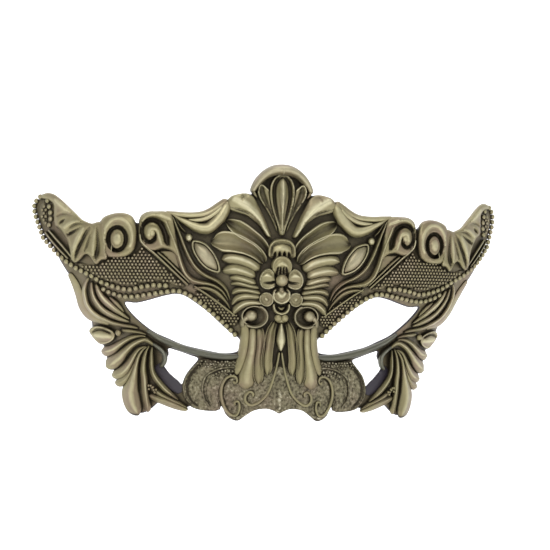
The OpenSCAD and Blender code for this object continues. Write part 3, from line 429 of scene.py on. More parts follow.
# The shell's edge from the crest round the wing tip to the nose, on the left side
SHELL_EDGE = [
    [0, 48.6], [5, 47.6], [8.6, 44.6], [10.6, 40.4], [13, 37.4], [18.6, 36.4], [24.5, 32.6], [30.5, 29.4],
    [36, 29], [45, 29.6], [52, 29.2], [56.6, 25.6], [60.4, 28.2], [65, 28.6], [70, 27.2], [75.3, 24.8],
    [79, 26.2], [84, 30.8], [90.6, 36.8], [95.6, 36.8], [98.8, 33.6], [97.8, 29], [96, 24], [94, 19.6],
    [90.6, 15.6], [87.6, 9.8], [84, 4.2], [81.6, 0], [80, -5], [77.8, -9.6], [74.6, -13.6], [73.4, -20],
    [70.4, -23.6], [68.4, -26.6], [67.4, -31], [65.4, -33.8], [63.6, -37.6], [62.6, -40.4], [60, -42],
    [59.6, -45.6], [57, -50], [54, -52], [50.4, -50.6], [45, -45.9], [40.6, -47.2], [36.2, -48.3],
    [31.8, -47.2], [27, -48], [22.4, -47.2], [20.4, -49.4], [17.6, -51.2], [14.6, -50.4], [10.4, -47.4],
    [5, -46.3], [0, -47.8]
]
EYE = [
    [61, -6.6], [56.5, -6.6], [51.3, -5.2], [46, -3.5], [41.5, -2.6], [37.9, -3.2], [34, -5.5], [28, -9.8],
    [24.5, -13], [19.5, -17.5], [16, -19.8], [14.8, -22.8], [16.8, -25.3], [22, -26], [27.2, -25.3],
    [32.4, -24.3], [37.6, -23.1], [43.1, -20.9], [48.7, -18.5], [53.6, -15.1], [58.3, -10.8]
]
CHEEK_GAP = [
    [31.6, -28.6], [35, -27.2], [40, -25.6], [43.2, -25], [43.1, -27.5], [45.2, -31.9], [42.5, -35.2],
    [40.4, -37.3], [37.8, -39.2], [36.8, -36.7], [35.3, -33.9], [33.5, -31.4]
]
NOSE_PLATE = [
    [0, -30], [7, -31], [13, -34.6], [17, -34.6], [20.4, -36.4], [22.2, -40], [22.3, -45], [20.9, -49.9],
    [18.6, -52.1], [15.8, -52.7], [13.1, -50.7], [9.5, -48.2], [5, -47.5], [2, -48.3], [0, -49.3]
]
CHEEK_DISC = [
    [16, -28.4], [23, -29], [30, -28.3], [33.5, -31.6], [36, -35.2], [37.5, -39.7], [37.4, -43],
    [35.9, -46.2], [33.6, -48.3], [29.1, -49.3], [22.8, -48.6], [22.3, -42], [20.6, -36.6], [16.4, -32.6]
]
CHEEK_MEDALLION = [
    [18, -32.2], [21, -31.6], [24.6, -32.6], [27.4, -34.6], [29, -37.2], [29.6, -41], [29, -44.2],
    [26.4, -47.8], [23.2, -47.6], [23, -42], [21.2, -36.6]
]
GEM = [
    [34.8, 18.6], [31, 17.7], [28.4, 15.3], [26.4, 12.4], [25.1, 9.2], [25, 6.8], [27.2, 7], [30.1, 8.4],
    [32.7, 11], [34.8, 14.5], [35.4, 17]
]
BROW_PAD = [
    [80.2, 9.6], [74, 8.2], [70, 10.4], [65, 12.4], [60.3, 12.3], [57.2, 14.2], [55.2, 16.4], [51.8, 13.6],
    [44, 6.6], [37.6, 0.6], [42, 0.8], [47.5, 2.4], [54.9, 1.2], [60, 0.6], [66.7, 1.4], [73, 3.6],
    [80.4, 7.6]
]
LID_PAD = [
    [33, -1], [27.3, -3.7], [24.7, -3.9], [22.3, -6.2], [19.7, -8.5], [16.8, -10], [16, -12.8], [17, -14.6],
    [19.7, -15], [24, -11], [28.6, -7.4], [33.6, -3.6]
]
WING_TIP_PAD = [[94.2, 35.4], [96.6, 33], [96.8, 29.4], [95.2, 25.4], [93.6, 24.4], [93.2, 28], [93.6, 32]]

# ---- Leaves, scrolls and wires: [x, z, width, height], root first, on the left side ----

HOOD = [
    [-12, 38.4, 2.2, 3], [-10.8, 41, 3, 4.2], [-9, 43.6, 3.6, 5.2], [-6.4, 46, 4, 6.2],
    [-3.2, 47.5, 4.6, 6.9], [0, 47.8, 4.9, 7.1]
]
PALM_OUTLINE = [
    [0.9, 21.6], [1.6, 24.4], [2.6, 27.2], [3.9, 31], [4.9, 35], [5.3, 39], [4.7, 42.6], [3.1, 45.4],
    [0, 46.8]
]
PALM_RIM = [
    [0.6, 21.8, 1, 0.6], [1.7, 26, 1.1, 1.2], [3.1, 30.6, 1.2, 1.5], [4.2, 35, 1.3, 1.6],
    [4.6, 39, 1.3, 1.6], [4.1, 42.4, 1.3, 1.5], [2.6, 44.9, 1.3, 1.4], [0, 46, 1.3, 1.2]
]
SIDE_OUTLINE = [
    [2.1, 23.4], [2.6, 24.6], [4.2, 28], [6, 31.2], [7.8, 33.8], [9.4, 36.4], [10.3, 39], [10, 41.4],
    [8.8, 42.4], [7.2, 41.6], [5.6, 40.2], [4.8, 38], [4.4, 35], [3.4, 31], [2.2, 27], [1.5, 23.2]
]
SIDE_RIM = [
    [2.3, 24.2, 0.9, 0.8], [3.4, 27, 1.1, 1.4], [5.4, 30.8, 1.1, 1.6], [7.2, 33.6, 1.2, 1.7],
    [8.8, 36.2, 1.2, 1.8], [9.6, 38.8, 1.2, 1.8], [9.2, 41, 1.2, 1.8], [8.4, 41.7, 1.2, 1.8],
    [7, 40.8, 1.1, 1.7], [5.4, 39.3, 1, 1.4]
]

FAN_TOP = [
    [4.2, 20.8], [5.2, 24], [7, 28.6], [9.2, 33.2], [11.4, 37.2], [14.6, 38.3], [18, 37.8], [20.5, 36.8],
    [22.2, 34.4], [21.4, 31.6], [17.4, 30.2], [13.8, 29], [10.4, 26.6], [8, 23.4], [6.2, 20.6]
]
FAN_TOP_LINES = [
    [[5, 21, 2, 0.8], [7.5, 24.6, 4.4, 1.7], [10, 28.7, 6, 2.1], [13.6, 32.6, 7, 2.2],
     [19.2, 35.8, 5, 1.4]],
    [[7.4, 22.8, 0.8, -0.5], [10.6, 27.6, 1, -1], [13.8, 30.2, 1, -1.1], [17, 31.4, 1, -1],
     [20.6, 32.4, 0.9, -0.5]],
    [[14.2, 38.2, 1, -0.6], [15.4, 36.8, 1.6, -0.8], [16, 35.4, 1, -0.3]],
]
FAN_RIDGES = [
    [[8.6, 7.6, 5.39, 2.6], [11.8, 10, 6.46, 3.2], [14.6, 11.3, 6.83, 3.4], [18, 12.2, 6.64, 3.4],
     [21, 12.3, 5.74, 3.2], [24, 11.4, 2.52, 2.4]],
    [[10.2, 4.8, 4.96, 2.6], [12.8, 6.2, 5.71, 3.2], [16, 7.3, 5.91, 3.4], [19.4, 7.8, 5.33, 3.2],
     [23.6, 7.2, 2.28, 2.2]],
    [[9.8, 2, 3.64, 2.4], [12.2, 2.9, 4.37, 3], [15, 3.8, 4.55, 3.2], [18, 4.5, 3.82, 2.8],
     [20.4, 4.4, 1.64, 2]],
    [[8.6, 0.4, 2.5, 2.4], [12, 1, 3.28, 2.9], [15, 1.8, 3.28, 3], [17.6, 2.3, 2.65, 2.6],
     [20, 1.8, 1.25, 1.8]],
    [[8, -1.8, 2.84, 2.6], [11, -1, 3.31, 3], [14.4, -0.5, 3.31, 3.1], [17.6, -0.8, 3.06, 2.8],
     [19.6, -2.2, 1.89, 2]],
    [[7.8, -3.4, 3.3, 2.4], [11, -3, 4.2, 2.9], [14.6, -2.9, 4.35, 3.1], [17.4, -4, 3.6, 2.8],
     [19.4, -6.6, 1.5, 2]],
    [[7, -5.9, 2.7, 2.8], [10.8, -5.4, 3.74, 3.2], [14.4, -5.9, 4.37, 3.2], [17.2, -7.8, 3.74, 3],
     [18.8, -10.4, 2.08, 2]],
]
FAN_GUTTERS = [
    [[5.8, 14.4, 4.03, 2.8], [7.8, 17.2, 4.93, 3.4], [10, 19.4, 5.38, 3.8], [12.8, 21.3, 6.05, 4],
     [15.6, 23, 6.72, 4], [18.4, 24.7, 6.27, 3.8], [21.2, 26.3, 3.58, 3], [22.4, 26.8, 1.57, 2.2]],
    [[6.8, 10.4, 3.48, 2.6], [8.6, 13, 4.87, 3.2], [11, 15, 5.8, 3.6], [14, 16.6, 6.73, 3.8],
     [17.2, 17.8, 7.89, 3.8], [20.4, 18.6, 8.82, 3.6], [24, 18.8, 8.58, 3.2], [26.8, 18.6, 5.1, 2.6],
     [28.2, 19, 1.86, 2]],
]

TASSELS = [
    [[2.4, -12.6, 1.95, 2.4], [3.9, -16.3, 3.62, 3], [4.5, -20, 4.18, 3.2], [5.1, -24, 4.45, 3.2],
     [5.5, -28, 4.73, 3], [5.3, -31.4, 4.45, 2.6], [5, -34.6, 1.11, 1.4]],
    [[8.2, -37.9, 1.76, 1.8], [8.5, -35, 4.11, 2.6], [8.7, -31, 4.41, 2.8], [8.6, -27, 4.11, 3],
     [8.2, -23, 4.11, 3.2], [8.2, -19, 4.11, 3], [8.8, -14.8, 3.52, 2.4]],
]
COLUMNS = [
    [[11, -14.6, 3.24, 2.4], [10.9, -19, 3.79, 2.9], [11, -23, 3.92, 3], [11.6, -27, 4.33, 3],
     [12.4, -31, 5.14, 3], [13, -35, 6.49, 3], [13, -38.6, 6.76, 2.6], [12.8, -40.2, 4.06, 1.8]],
    [[13.8, -13.4, 3.52, 2.2], [13.6, -18, 3.96, 2.6], [13.8, -22, 3.96, 2.6], [14.4, -26, 3.96, 2.6],
     [15.4, -29.5, 3.96, 2.4], [16.4, -32.6, 3.52, 2.2], [16.9, -34.8, 1.32, 1.4]],
]
FILIGREE = [
    [0.5, -24.6, 1.22, 2], [1, -28, 1.35, 2], [1.9, -32.6, 1.35, 2], [3.4, -37.8, 1.49, 2],
    [5, -41.6, 1.49, 2], [8, -44.8, 1.62, 2.1], [11, -46.2, 1.62, 2.1], [13, -45, 1.62, 2.1],
    [13.2, -42.6, 1.62, 2.1], [11.7, -40.9, 1.49, 2.1], [10.3, -41.6, 1.49, 2.1], [10.5, -43, 1.35, 2.1]
]
C_SCROLL = [
    [17.9, -36.6, 1.25, 2.2], [17.4, -37.7, 1.38, 2.2], [16.5, -36.8, 1.38, 2.2], [17, -35.3, 1.5, 2.2],
    [18.8, -34.9, 1.5, 2.2], [20.8, -36, 1.62, 2.2], [22.2, -38.6, 1.75, 2.3], [22.6, -42, 1.75, 2.3],
    [21.9, -45.6, 1.75, 2.3], [20.3, -48.8, 1.62, 2.2], [18.2, -50.6, 1.5, 2.2], [16.4, -50.2, 1.5, 2.2],
    [15.4, -47.6, 1.5, 2.2], [15.8, -45.2, 1.5, 2.2], [17.1, -45.2, 1.38, 2.2], [17.2, -46.8, 1.25, 2.2]
]
EYE_RIM = [
    [15.4, -26.9, 1.6, 1.8], [19, -27.4, 2.6, 2.2], [25, -27.2, 2.8, 2.4], [31, -26.2, 2.8, 2.4],
    [37, -24.8, 2.8, 2.4], [43, -22.7, 2.6, 2.4], [47.6, -20.6, 2.2, 2.2], [52, -17.8, 1.4, 1.8]
]
DISC_RIM = [
    [30.4, -29.2, 1, 1.4], [33, -31.8, 1.1, 1.6], [35.6, -35.2, 1.2, 1.8], [37, -39.2, 1.2, 1.8],
    [36.9, -42.6, 1.2, 1.8], [35.5, -45.6, 1.2, 1.8], [32.8, -47.9, 1, 1.4]
]
MEDALLION_RIM = [
    [16.8, -31.6, 1.12, 2], [20.2, -31.5, 1.38, 2.1], [23.3, -32.2, 1.38, 2.1], [26, -33.4, 1.38, 2.1],
    [28.4, -35.2, 1.38, 2.1], [29.6, -38, 1.38, 2.1], [29.8, -41.4, 1.38, 2.1], [29, -44.6, 1.38, 2.1],
    [26.6, -47.8, 1.25, 1.8]
]

DRAPE = [
    [[46.4, 29.8, 1.8, 2.6], [42, 29.2, 2.6, 3], [38, 28.8, 2.9, 3.2], [34, 28.9, 3, 3.2],
     [31, 29.4, 3.2, 3.2], [28, 30.7, 3.4, 3], [25, 32.7, 3.6, 2.8], [21.6, 35.4, 3, 2.2]],
    [[37.6, 27.2, 1.2, 3], [34.4, 27, 2.6, 3.4], [31.4, 27.4, 3, 3.6], [28.8, 28.5, 3.2, 3.6],
     [26.2, 30.4, 3.2, 3.4], [23.6, 33, 2.6, 3]],
    [[44, 29.4, 1.2, 2.6], [41, 27.7, 2.4, 3], [38, 26.2, 3.2, 3.6], [35, 24.8, 4.2, 4],
     [32, 23.9, 4.8, 4.4], [29.2, 24.2, 5.4, 4.4], [26.6, 26.4, 5.6, 4.2], [24.2, 29.4, 5.6, 3.8],
     [22.4, 32.8, 4.8, 3.2], [21.6, 35, 2.6, 2.4]],
]
BROW_OUTLINE = [
    [56.5, 26.4], [55.5, 28.9], [53, 30.3], [49.6, 30.5], [45.8, 30.4], [43.2, 29], [42.2, 24.4],
    [41, 17.4], [40.2, 12.6], [41.6, 12.2], [43.4, 14.4], [46.8, 15.4], [50, 14.4], [52.6, 14.8],
    [55.2, 17.4], [56.7, 21.6]
]
BROW_LINES = [
    [[50.3, 21.2, 1.2, -2.6], [50.2, 19.6, 1.6, -3.2], [51.2, 18.3, 1.8, -3.4], [52.8, 18, 1.8, -3.4],
     [54.6, 19.6, 1.9, -3.4], [55.3, 22.2, 1.9, -3.4], [54.7, 24.8, 2, -3.4], [53, 26.5, 2.1, -3.4],
     [50.9, 26.9, 2.2, -3.4], [48.6, 25.9, 2.6, -3.4], [46.8, 23.8, 3.2, -3.4], [45.8, 21, 3.2, -3.4],
     [45.4, 18.4, 2.6, -3.2], [44.6, 16.4, 1, -1.6]],
    [[47.6, 17, 2, 0.6], [48.6, 20, 2, 1.2], [49.6, 22.8, 3, 1.6], [52, 23.2, 4, 2], [52.6, 21, 3.6, 1.8]],
    [[44, 27, 2, 1.2], [47, 28, 2.4, 1.6], [50, 29, 2.4, 1.6], [53.4, 28.4, 2.2, 1.4],
     [55.8, 25.6, 1.4, 0.8]],
]
BROW_BANDS = [
    [[46.4, 27.4, 2.73, 3.6], [45.2, 24.2, 2.94, 4.2], [43.8, 21, 2.94, 4.2], [42.4, 17.6, 2.73, 4],
     [41.2, 14, 2.73, 3.8], [40.3, 11, 2.73, 3.6], [39.2, 8, 2.73, 3.4], [37.8, 5.4, 2.62, 3.2],
     [35.4, 3.2, 2.62, 3], [32.2, 2.2, 2.52, 3], [29, 1.8, 2.31, 3], [26, 0.8, 2.31, 2.8],
     [23, -1.4, 1.89, 2.4], [20.8, -4.8, 0.95, 1.8]],
    [[43.6, 28.6, 1.5, 3], [42.2, 25.4, 1.75, 3.4], [40.8, 22, 1.88, 3.4], [39.4, 18.4, 2.12, 3.4],
     [38, 15, 2.25, 3.3], [36.2, 11.4, 2.25, 3.2], [34.4, 8.7, 2.25, 3.1], [32.2, 6.6, 2.25, 3],
     [29.6, 4.9, 2.25, 3], [26.6, 3.5, 2.12, 2.8], [24, 1.8, 2, 2.6], [21.6, -0.8, 1.75, 2.4],
     [20, -4.4, 1.12, 1.8]],
    [[34.6, -0.1, 1.2, 1.8], [30.6, 0.2, 2.4, 2.6], [27, -0.6, 2.64, 2.8], [24, -2.6, 2.4, 2.6],
     [21.2, -5.8, 1.56, 2], [19.8, -8.4, 0.96, 1.4]],
    [[43, 29, 0.88, 2.6], [41, 25.6, 1.1, 2.8], [39.8, 23.8, 1.32, 2.8], [38, 22, 0.99, 2.2]],
]
BROW_WIRES = [
    [[56.2, 21.4, 1.18, 3.3], [55.6, 18.4, 1.31, 3.1], [53.4, 16, 1.31, 2.9], [50.6, 13.8, 1.18, 2.7],
     [46, 9.6, 1.05, 2.5], [41, 5, 1.05, 2.4], [36.6, 1, 1.05, 2.2]],
    [[49.4, 14.2, 1.05, 2.4], [45.4, 10.9, 1.05, 2.5], [40.4, 6.2, 1.05, 2.5], [36, 2, 1.05, 2.2]],
    [[34.4, 0.9, 0.92, 2.1], [30, -1.9, 1.05, 2.3], [25.6, -4.9, 1.05, 2.3], [21.6, -7.9, 1.05, 2.2],
     [17.6, -10.9, 0.92, 2]],
]
BROW_PLATE = [[48.6, 14.6], [45.4, 14.8], [42.6, 14.4], [40.6, 11.4], [39.4, 7.4], [41.4, 7.6], [45, 11]]

WING_OUTLINE = [
    [97.4, 36.6], [94.6, 38.3], [91.2, 37.9], [87.6, 35.3], [85, 32.8], [82, 29.9], [79.2, 27.1], [77, 26],
    [75, 25.4], [72.4, 26.1], [69.6, 25], [69.6, 20], [68.6, 15.6], [68.6, 11.2], [71, 10.4], [73.2, 8.5],
    [75.4, 11.6], [77.4, 12.8], [79.4, 10.6], [81.8, 9.2], [83.6, 11.4], [84.2, 15], [85.6, 19.4],
    [88.2, 23.2], [90.4, 25], [90.8, 30], [91, 33.4], [93.4, 35.4]
]
WING_LINES = [
    [[88.4, 25.2, 0.8, -0.6], [87.2, 26.2, 1.4, -2], [86, 27.2, 0.8, -0.8]],
    [[85.4, 20, 0.9, -0.8], [83.8, 21.1, 1.5, -2.2], [82, 22.2, 1.3, -1.8], [79.4, 23.9, 0.8, -0.6]],
    [[90.2, 27.4, 1, -0.6], [88.2, 29, 1.6, -1.1], [85, 29.3, 1.6, -1.1], [82, 28.3, 1, -0.5]],
    [[84, 23.8, 1, -0.8], [81.4, 25.2, 1.3, -1.2], [78.4, 25.3, 1, -0.5]],
    [[81.6, 10.4, 1, -1], [80.8, 13.6, 1.5, -1.9], [79.6, 16.6, 1.6, -2], [78.2, 19.6, 1.6, -1.8],
     [76.8, 22.4, 1.4, -1.4], [75.4, 24.6, 1, -0.6]],
    [[78.2, 13.2, 1, -1], [77, 16, 1.4, -1.3], [76, 19.6, 1.2, -1], [75, 23, 0.8, -0.4]],
    [[73.6, 10.4, 1.2, -1.2], [72.8, 13, 2.2, -2], [72.4, 16, 1.8, -1.6], [72.6, 20, 1.2, -1.1],
     [73, 24, 0.8, -0.5]],
    [[69.2, 11, 1.4, 0.8], [69.9, 15, 1.8, 1.2], [70.2, 20, 1.8, 1.2], [69.6, 24.4, 1.2, 0.6]],
    [[83, 12, 2, 0.6], [82, 16, 3, 1.1], [80.4, 20, 3.4, 1.2], [78.6, 23.4, 2.6, 0.7]],
    [[74.4, 10.6, 1.4, 0.6], [74.6, 15, 2.2, 1], [74.2, 20, 2.2, 0.9], [73.8, 24, 1.4, 0.4]],
    [[86.4, 23.6, 3, 0.9], [83, 25.8, 3, 1.1], [79.6, 26, 2, 0.6]],
    [[90, 35, 4, 1], [86.4, 32, 5, 1.3], [82.6, 29, 4, 1], [79, 26.6, 2, 0.4]],
]
WING_VOLUTE = [
    [58, 15.2], [57.1, 19], [57.3, 24], [58.8, 27.9], [61.6, 29.5], [65, 29.7], [68.6, 28.9], [71.4, 27],
    [71.8, 23], [71, 17], [69.6, 12.4], [66.4, 11.6], [62, 11.9], [59.4, 13.2]
]
WING_WIRES = [
    [[93, 22.8, 0.95, 2.9], [90, 19.4, 1.05, 2.7], [86.4, 15.4, 1.05, 2.6], [83, 11.4, 0.95, 2.3]],
    [[94.4, 22, 0.84, 2.5], [91.4, 18.2, 0.95, 2.4], [87.8, 14.2, 0.95, 2.3], [84.4, 10.8, 0.84, 2.1]],
]

CHEEK_FAN = [
    [[84, 5, 1.8, 2.38], [81.4, 0.6, 3.06, 3.06], [79.6, -4, 3.42, 3.4], [78, -9, 3.6, 3.74],
     [75.2, -12.6, 3.6, 4.08], [71.2, -14.6, 2.88, 4.08], [67, -16, 1.62, 3.4]],
    [[75.8, 3.4, 1.32, 2.2], [77, 1, 1.98, 2.8], [77.6, -2, 2.42, 3.2], [77.2, -5, 2.53, 3.4],
     [76.2, -8.2, 2.64, 3.5], [74.2, -10.9, 2.64, 3.5], [71.6, -12.8, 2.64, 3.4], [68.8, -14.1, 2.64, 3.2],
     [65.6, -15.3, 2.42, 3], [62, -16, 2.2, 2.6], [58, -16.6, 1.76, 2.2], [55.4, -17.2, 0.99, 1.6]],
    [[74.8, 1.6, 1.34, 2.2], [74.6, -1, 2.02, 2.8], [74.1, -3.6, 2.35, 3.2], [72.9, -6.2, 2.58, 3.3],
     [71.1, -8.6, 2.69, 3.3], [69, -10.5, 2.91, 3.2], [66.6, -11.9, 3.02, 3], [64, -13, 2.69, 2.7],
     [61.4, -13.9, 2.13, 2.3], [59, -14.6, 1.12, 1.7]],
    [[73, 0.8, 1.73, 2.2], [72, -1.9, 2.59, 3], [70.6, -4.3, 3.13, 3.4], [69, -6.1, 3.46, 3.5],
     [67, -7.8, 3.35, 3.4], [65, -9.4, 3.02, 3.1], [62.8, -10.9, 2.38, 2.7], [60.8, -12.3, 1.73, 2.2],
     [59, -13.4, 0.86, 1.5]],
    [[67.4, -4.4, 1.2, 2], [65.2, -6.6, 2.28, 2.3], [63, -8.8, 1.92, 2.1], [61.4, -10.6, 0.96, 1.5]],
    [[62.2, -18.2, 1.32, 1.8], [60.6, -18.2, 1.98, 2.5], [58, -18.4, 2.09, 2.6], [55, -18.8, 1.65, 2.2],
     [52, -19.6, 0.88, 1.5]],
]
POD = [
    [75.2, -19.6], [74, -17.6], [71.4, -16.7], [68.4, -17.2], [66, -18.2], [64.4, -19.8], [64.6, -21.8],
    [66.2, -23.6], [68.8, -24.8], [70.8, -24.6], [73, -22.8]
]
POD_LINES = [
    [[74.4, -19.4, 1, 0.6], [73, -17.6, 1.4, 1.1], [70.4, -17.3, 1.4, 1.2], [67.4, -18.3, 1.4, 1.3],
     [65.4, -19.4, 1.2, 1]],
    [[74, -20, 0.9, -0.8], [72, -18.6, 1.3, -1.6], [69.4, -18.5, 1.3, -1.6], [66.6, -19.6, 1.1, -1.2]],
    [[70.6, -24.2, 1.2, 0.7], [67.8, -23.9, 1.4, 1.1], [65.6, -22.4, 1.4, 1.1], [64.9, -20.6, 1.1, 0.8]],
    [[73, -21, 3, 1], [69.6, -21, 4.4, 1.7], [66.6, -21.2, 3, 1.1]],
]
CHEEK_LEAVES = [
    [[52, -20.6, 1.34, 1.8], [54.2, -20.2, 1.79, 2.4], [57.6, -21, 2.46, 3], [60.4, -22.6, 2.91, 3.2],
     [63, -24.6, 3.58, 3.4], [65.6, -26.6, 4.48, 3.4], [68.2, -27.6, 4.48, 3], [70, -27.8, 2.24, 2]],
    [[48.4, -24.4, 1.34, 2], [50.4, -22.6, 2.24, 2.8], [52.6, -21.7, 2.58, 3.2], [55.2, -22.6, 2.8, 3.5],
     [58, -24.6, 3.25, 3.6], [60.6, -27.4, 4.03, 3.8], [62.6, -29.8, 5.15, 3.8], [65, -32, 5.82, 3.4],
     [67, -33.6, 4.48, 2.6], [68, -34.2, 1.79, 1.8]],
    [[52, -24.4, 1.34, 2.2], [54.6, -25.6, 2.24, 2.8], [56.4, -28, 2.8, 3.2], [57.9, -31, 3.36, 3.4],
     [59.7, -34, 4.26, 3.4], [61.8, -36.2, 4.93, 3.2], [64.4, -37.2, 3.81, 2.6], [65.6, -37.4, 1.79, 1.8]],
    [[56.4, -31, 1.34, 2.2], [58, -35, 2.46, 2.8], [59.9, -38.2, 3.36, 3], [62, -40, 3.81, 2.8],
     [64.2, -40.6, 2.46, 2.2]],
    [[51.6, -24.4, 1.34, 2.2], [53.4, -26, 2.13, 2.8], [55, -28.8, 2.58, 3.2], [55.9, -32.4, 3.02, 3.5],
     [56.6, -36, 4.03, 3.8], [57.4, -40, 5.6, 4], [57.8, -44, 7.17, 4], [57, -48, 7.17, 3.8],
     [55.6, -51.2, 5.82, 3.4], [54.6, -53, 2.91, 2.2]],
    [[50.8, -24, 1.34, 2.2], [52, -26.6, 2.13, 2.8], [52.7, -30, 2.8, 3.4], [52.9, -34, 3.25, 3.6],
     [52.4, -38, 3.36, 3.6], [52.1, -42, 3.25, 3.4], [51.6, -46, 3.14, 3], [51, -49.4, 2.91, 2.6],
     [51, -51.4, 1.12, 1.6]],
    [[49.6, -24.4, 1.34, 2.2], [49.8, -27, 1.9, 3], [49.8, -30.4, 2.24, 3.6], [49.5, -34, 2.46, 3.8],
     [48.2, -37, 2.8, 3.8], [46.2, -39.6, 3.02, 3.6], [43.8, -42, 2.91, 3.2], [41.2, -44, 2.02, 2.6],
     [39, -45.6, 1.01, 1.8]],
    [[50.6, -40.6, 1.79, 2.2], [48.4, -42, 2.69, 2.8], [45.6, -43.9, 2.91, 3], [42.4, -45.4, 2.69, 2.8],
     [38.8, -47, 2.24, 2.4], [35.4, -48.6, 1.12, 1.6]],
    [[50.8, -44.2, 2.46, 2.2], [47.8, -45.2, 3.36, 2.8], [44.4, -46.2, 3.7, 3], [40.6, -47.5, 3.58, 2.8],
     [37, -48.8, 2.46, 2.2], [35.2, -49.2, 1.12, 1.6]],
]
CHEEK_CURL = [
    [50.2, -22.8, 1.4, 2.2], [47.6, -24.4, 2, 2.8], [45.4, -26.4, 2.2, 3], [44.6, -28.8, 2.2, 3],
    [45.2, -31.2, 2, 2.8], [46.6, -32.6, 1.6, 2.2]
]

# Large beads run down the edge of the wing and along the lid, then in a second row to the nose
BEAD_ROWS = [
    [[96.6, 36.8], [98.8, 34.6], [99.2, 32.2], [98.6, 29], [97.2, 25.3], [95, 19.5], [91.7, 15.8],
     [88.3, 12.4], [84.5, 9.4], [80.8, 7], [77, 5.2], [74.6, 4], [70.8, 1.7], [66.6, 0.2], [62.2, -0.9],
     [59, -1.1], [54.6, 0.1], [50, 0.9], [45.4, 0.8]],
    [[69.8, -1.2], [67.5, -2.4], [63.4, -3.7], [60, -4.1], [56.7, -3.8], [51.8, -2.9], [46.5, -1.8],
     [40.6, -1.1], [36.6, -2.6], [31.2, -6], [27, -9.6], [22, -13.9], [17.6, -18.3]],
    [[93.4, 35], [92.6, 32.6], [92, 30], [91.9, 27.4], [92.5, 24.8]],
]


# ---- Materials ----


class Paint:
    """One material's node tree, with a call that adds a node and fills its sockets."""

    def __init__(self, name):
        self.material = bpy.data.materials.new(name)
        self.material.use_nodes = True
        self.tree = self.material.node_tree
        self.shader = self.tree.nodes["Principled BSDF"]
        self.place = self.node("TexCoord", {}).outputs["Object"]

    def feed(self, socket, value):
        if isinstance(value, bpy.types.NodeSocket):
            self.tree.links.new(value, socket)
        else:
            socket.default_value = (*value, 1) if isinstance(value, tuple) else value

    def node(self, kind, inputs, **settings):
        """Each input is a number, a colour or another node's output."""
        node = self.tree.nodes.new("ShaderNode" + kind)
        for key, value in settings.items():
            setattr(node, key, value)
        for key, value in inputs.items():
            self.feed(node.inputs[key], value)
        return node

    def noise(self, scale, detail=3.0):
        inputs = {"Scale": scale, "Detail": detail, "Vector": self.place}
        return self.node("TexNoise", inputs).outputs["Fac"]

    def sum(self, a, b):
        return self.node("Math", {0: a, 1: b}, operation="ADD").outputs[0]

    def less(self, a, b):
        return self.node("Math", {0: a, 1: b}, operation="SUBTRACT").outputs[0]

    def times(self, a, b):
        return self.node("Math", {0: a, 1: b}, operation="MULTIPLY").outputs[0]

    def step(self, value, low, high):
        """Rises smoothly from 0 to 1 as the value goes from low to high."""
        inputs = {"From Min": low, "From Max": high, "Value": value}
        return self.node("MapRange", inputs, interpolation_type="SMOOTHSTEP").outputs["Result"]

    def mix(self, share, a, b):
        return self.node("Mix", {"Factor": share, 6: a, 7: b}, data_type="RGBA").outputs[2]

    def finish(self, colour, rough, rough_from, rough_to, strength, depth, grain):
        """Feeds the shader its colour, a roughness spread over a range, and a fine grain."""
        self.feed(self.shader.inputs["Base Color"], colour)
        spread = {"Value": rough, "From Min": rough_from[0], "From Max": rough_from[1],
                  "To Min": rough_to[0], "To Max": rough_to[1]}
        self.feed(self.shader.inputs["Roughness"], self.node("MapRange", spread).outputs["Result"])
        bump = self.node("Bump", {"Strength": strength, "Distance": depth, "Height": grain})
        self.feed(self.shader.inputs["Normal"], bump.outputs["Normal"])
        return self.material


def antique(name, body, worn_and_highlight, tint=(0.21, 0.155, 0.10), wash_and_shade_bias=0.0, mottle_and_glints=0.22, speck=520.0, grain=0.0,
            grain_scale=1400.0):
    """Metallic paint: a dark wash in the recesses, deepened by painted shade from ambient occlusion, and
    worn pale along the crests, partly as painted highlight.
    """
    paint = Paint(name)
    height = paint.node("Attribute", {}, attribute_name="crest").outputs["Fac"]
    # Painted shade: ambient occlusion darkens crevices, corners and the gaps between pieces towards the wash
    # colour.
    hollow = paint.node("AmbientOcclusion", {"Distance": 0.0032}, samples=8)
    unshaded = paint.step(hollow.outputs["AO"], 0.32, 0.86)
    cloud = paint.noise(70.0)
    speckle = paint.noise(speck)
    blotch = paint.sum(paint.times(cloud, 0.28), paint.times(speckle, mottle_and_glints))
    middle = 0.14 + 0.5 * mottle_and_glints  # the blotches' own mean
    # The wash and its painted shade clear where the occlusion mask finds the surface open, and where it
    # stands proud
    proud = paint.sum(paint.times(height, 0.55), paint.times(unshaded, 0.72))
    clear = paint.step(paint.sum(proud, paint.less(blotch, middle + wash_and_shade_bias)), 0.34, 0.92)
    # Worn pale paint on the crests, partly real rubbed wear and partly painted highlight; it shows only
    # where the occlusion mask finds the surface unshaded.
    wear_and_highlight = paint.step(paint.sum(height, paint.less(blotch, middle)), 0.72, 1.12)
    colour = paint.mix(paint.step(cloud, 0.42, 0.72), body, tint)
    colour = paint.mix(paint.times(wear_and_highlight, unshaded), colour, worn_and_highlight)
    paint.shader.inputs["Metallic"].default_value = 0.5
    rough = paint.sum(paint.times(clear, -0.6), speckle)
    colour = paint.mix(clear, WASH_AND_SHADE, colour)
    fine = paint.noise(grain_scale, 4.0)
    return paint.finish(colour, rough, (-0.3, 0.8), (0.39, 0.67), 0.35, 0.00012 + grain, fine)


def bare_plastic():
    """Violet-black moulded plastic, with a soft sheen and fine flow marks."""
    paint = Paint("bare_plastic")
    cloud = paint.step(paint.noise(45.0), 0.3, 0.7)
    colour = paint.mix(cloud, (0.022, 0.017, 0.027), (0.036, 0.030, 0.036))
    return paint.finish(colour, paint.noise(260.0), (0, 1), (0.38, 0.55), 0.3, 0.0001, paint.noise(900.0))
